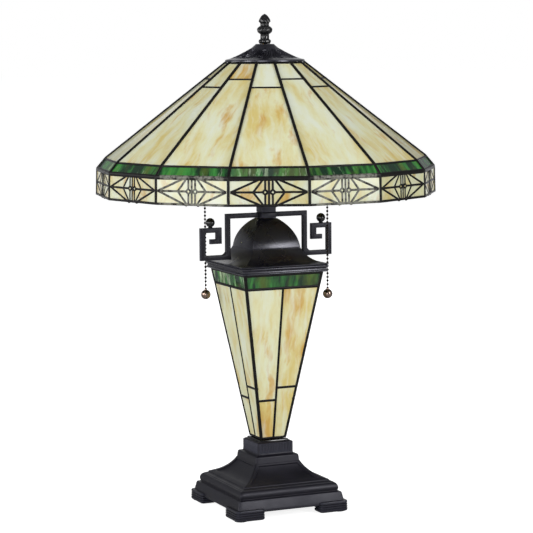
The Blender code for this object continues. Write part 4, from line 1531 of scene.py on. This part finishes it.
def studio_floor():
    """A wide white painted board with the faint mottle of a roller, clear when seen from below."""
    mat, tree = blank_material("painted_white_board")
    tint = ramp(tree, grain(tree, 25.0, 3.0), (0.3, grey(0.54)), (0.7, grey(0.56)))
    board = made(tree, "ShaderNodeBsdfPrincipled", {"Base Color": tint, "Roughness": 0.8})
    ray = add(tree, "ShaderNodeLightPath").outputs["Is Camera Ray"]
    glow = made(tree, "ShaderNodeEmission", {"Strength": reckon(tree, "MULTIPLY", ray, 0.84)})
    both = made(tree, "ShaderNodeAddShader", {0: board, 1: glow})
    below = add(tree, "ShaderNodeNewGeometry").outputs["Backfacing"]
    clear = made(tree, "ShaderNodeBsdfTransparent")
    show(tree, made(tree, "ShaderNodeMixShader", {0: below, 1: both, 2: clear}))
    work = bmesh.new()
    bmesh.ops.create_grid(work, x_segments=1, y_segments=1, size=30.0)
    mesh = mesh_from(work, "studio_floor")
    mesh.materials.append(mat)
    floor = bpy.data.objects.new("studio_floor", mesh)
    bpy.context.scene.collection.objects.link(floor)


def studio_world():
    """White all round for the camera, softer for what the lamp itself reflects."""
    world = bpy.data.worlds.new("studio_world")
    world.use_nodes = True
    tree = world.node_tree
    tree.nodes.clear()
    seen = made(tree, "ShaderNodeBackground", {"Color": grey(1.0), "Strength": 1.0})
    lit = made(tree, "ShaderNodeBackground", {"Color": srgb("F4F6FA"), "Strength": 0.30})
    ray = add(tree, "ShaderNodeLightPath").outputs["Is Camera Ray"]
    both = made(tree, "ShaderNodeMixShader", {0: ray, 1: lit, 2: seen})
    add(tree, "ShaderNodeOutputWorld", {"Surface": both})
    bpy.context.scene.world = world


def lamp_camera():
    data = bpy.data.cameras.new("camera")
    data.lens = CAMERA_LENS
    data.sensor_width = 36.0
    data.clip_end = 60.0
    camera = bpy.data.objects.new("camera", data)
    bpy.context.scene.collection.objects.link(camera)
    out = Vector((-math.sin(CAMERA_SIDE), -math.cos(CAMERA_SIDE), 0.0))
    place = out * CAMERA_DISTANCE + Vector((0.0, 0.0, CAMERA_HEIGHT))
    look = (-out * math.cos(CAMERA_PITCH) - Vector((0.0, 0.0, math.sin(CAMERA_PITCH))))
    turn = look.to_track_quat("-Z", "Y").to_matrix().to_4x4()
    camera.matrix_world = Matrix.Translation(place) @ turn @ Matrix.Rotation(CAMERA_ROLL, 4, "Z")
    bpy.context.scene.camera = camera


# Name, place, height aimed at on the axis, size and power of each soft light
LIGHTS = (
    ("left_softbox", (-2.4, -0.72, 1.05), 0.35, (0.7, 1.7), 40.0),
    ("right_softbox", (1.2, -2.15, 0.82), 0.35, (0.75, 0.9), 29.0),
    ("front_softbox", (-1.5, -2.3, 0.5), 0.35, (1.0, 1.0), 17.0),
    ("side_panel", (-2.6, 1.3, 0.75), 0.35, (1.6, 1.0), 17.0),
    ("top_softbox", (-0.2, -1.2, 2.6), 0.35, (1.4, 1.4), 4.0),
    ("high_softbox", (1.1, -2.0, 1.6), 0.35, (0.75, 0.9), 15.0),
    ("low_card", (1.07, 2.4, 0.28), 0.28, (3.0, 0.5), 6.0),
    ("back_fill", (1.0, 2.4, 1.3), 0.35, (1.6, 1.4), 4.0),
)


class LAMP_OT_stage(bpy.types.Operator):
    """Sets up the white floor, the soft lights and the camera"""
    bl_idname = "lamp.stage"
    bl_label = "Stage"

    def execute(self, context):
        studio_floor()
        studio_world()
        for name, place, target, size, power in LIGHTS:
            area_light(name, place, (0.0, 0.0, target), size, power)
        lamp_camera()
        context.scene.view_settings.view_transform = "Standard"
        return {"FINISHED"}


# ---------------------------------------------------------------- panel and registration

OPERATORS = (
    LAMP_OT_crown_glass, LAMP_OT_band_glass, LAMP_OT_apron_glass, LAMP_OT_shade_leads, LAMP_OT_shade_cap,
    LAMP_OT_finial, LAMP_OT_column_glass, LAMP_OT_column_leads, LAMP_OT_column_mounts, LAMP_OT_arms,
    LAMP_OT_neck, LAMP_OT_base, LAMP_OT_underside, LAMP_OT_sockets, LAMP_OT_pulls, LAMP_OT_hidden_fixings,
    LAMP_OT_stage,
)


class LAMP_PT_panel(bpy.types.Panel):
    bl_label = "Stained Glass Lamp"
    bl_idname = "LAMP_PT_panel"
    bl_space_type = "VIEW_3D"
    bl_region_type = "UI"
    bl_category = "Lamp"

    def draw(self, context):
        for group in GROUPS:
            settings = getattr(context.scene, group)
            box = self.layout.box()
            for prop in settings.bl_rna.properties:
                if prop.identifier not in ("rna_type", "name"):
                    box.prop(settings, prop.identifier)
        for operator in OPERATORS:
            self.layout.operator(operator.bl_idname)


GROUPS = {
    "lamp_glass": LampGlassSettings,
    "lamp_lead": LampLeadSettings,
    "lamp_metal": LampMetalSettings,
}
CLASSES = tuple(GROUPS.values()) + OPERATORS + (LAMP_PT_panel,)


def register():
    for cls in CLASSES:
        bpy.utils.register_class(cls)
    for name, group in GROUPS.items():
        setattr(bpy.types.Scene, name, bpy.props.PointerProperty(type=group))


def unregister():
    for name in GROUPS:
        delattr(bpy.types.Scene, name)
    for cls in reversed(CLASSES):
        bpy.utils.unregister_class(cls)


def main():
    register()
    for operator in OPERATORS:
        getattr(bpy.ops.lamp, operator.bl_idname.split(".")[1])()


if __name__ == "__main__":
    main()
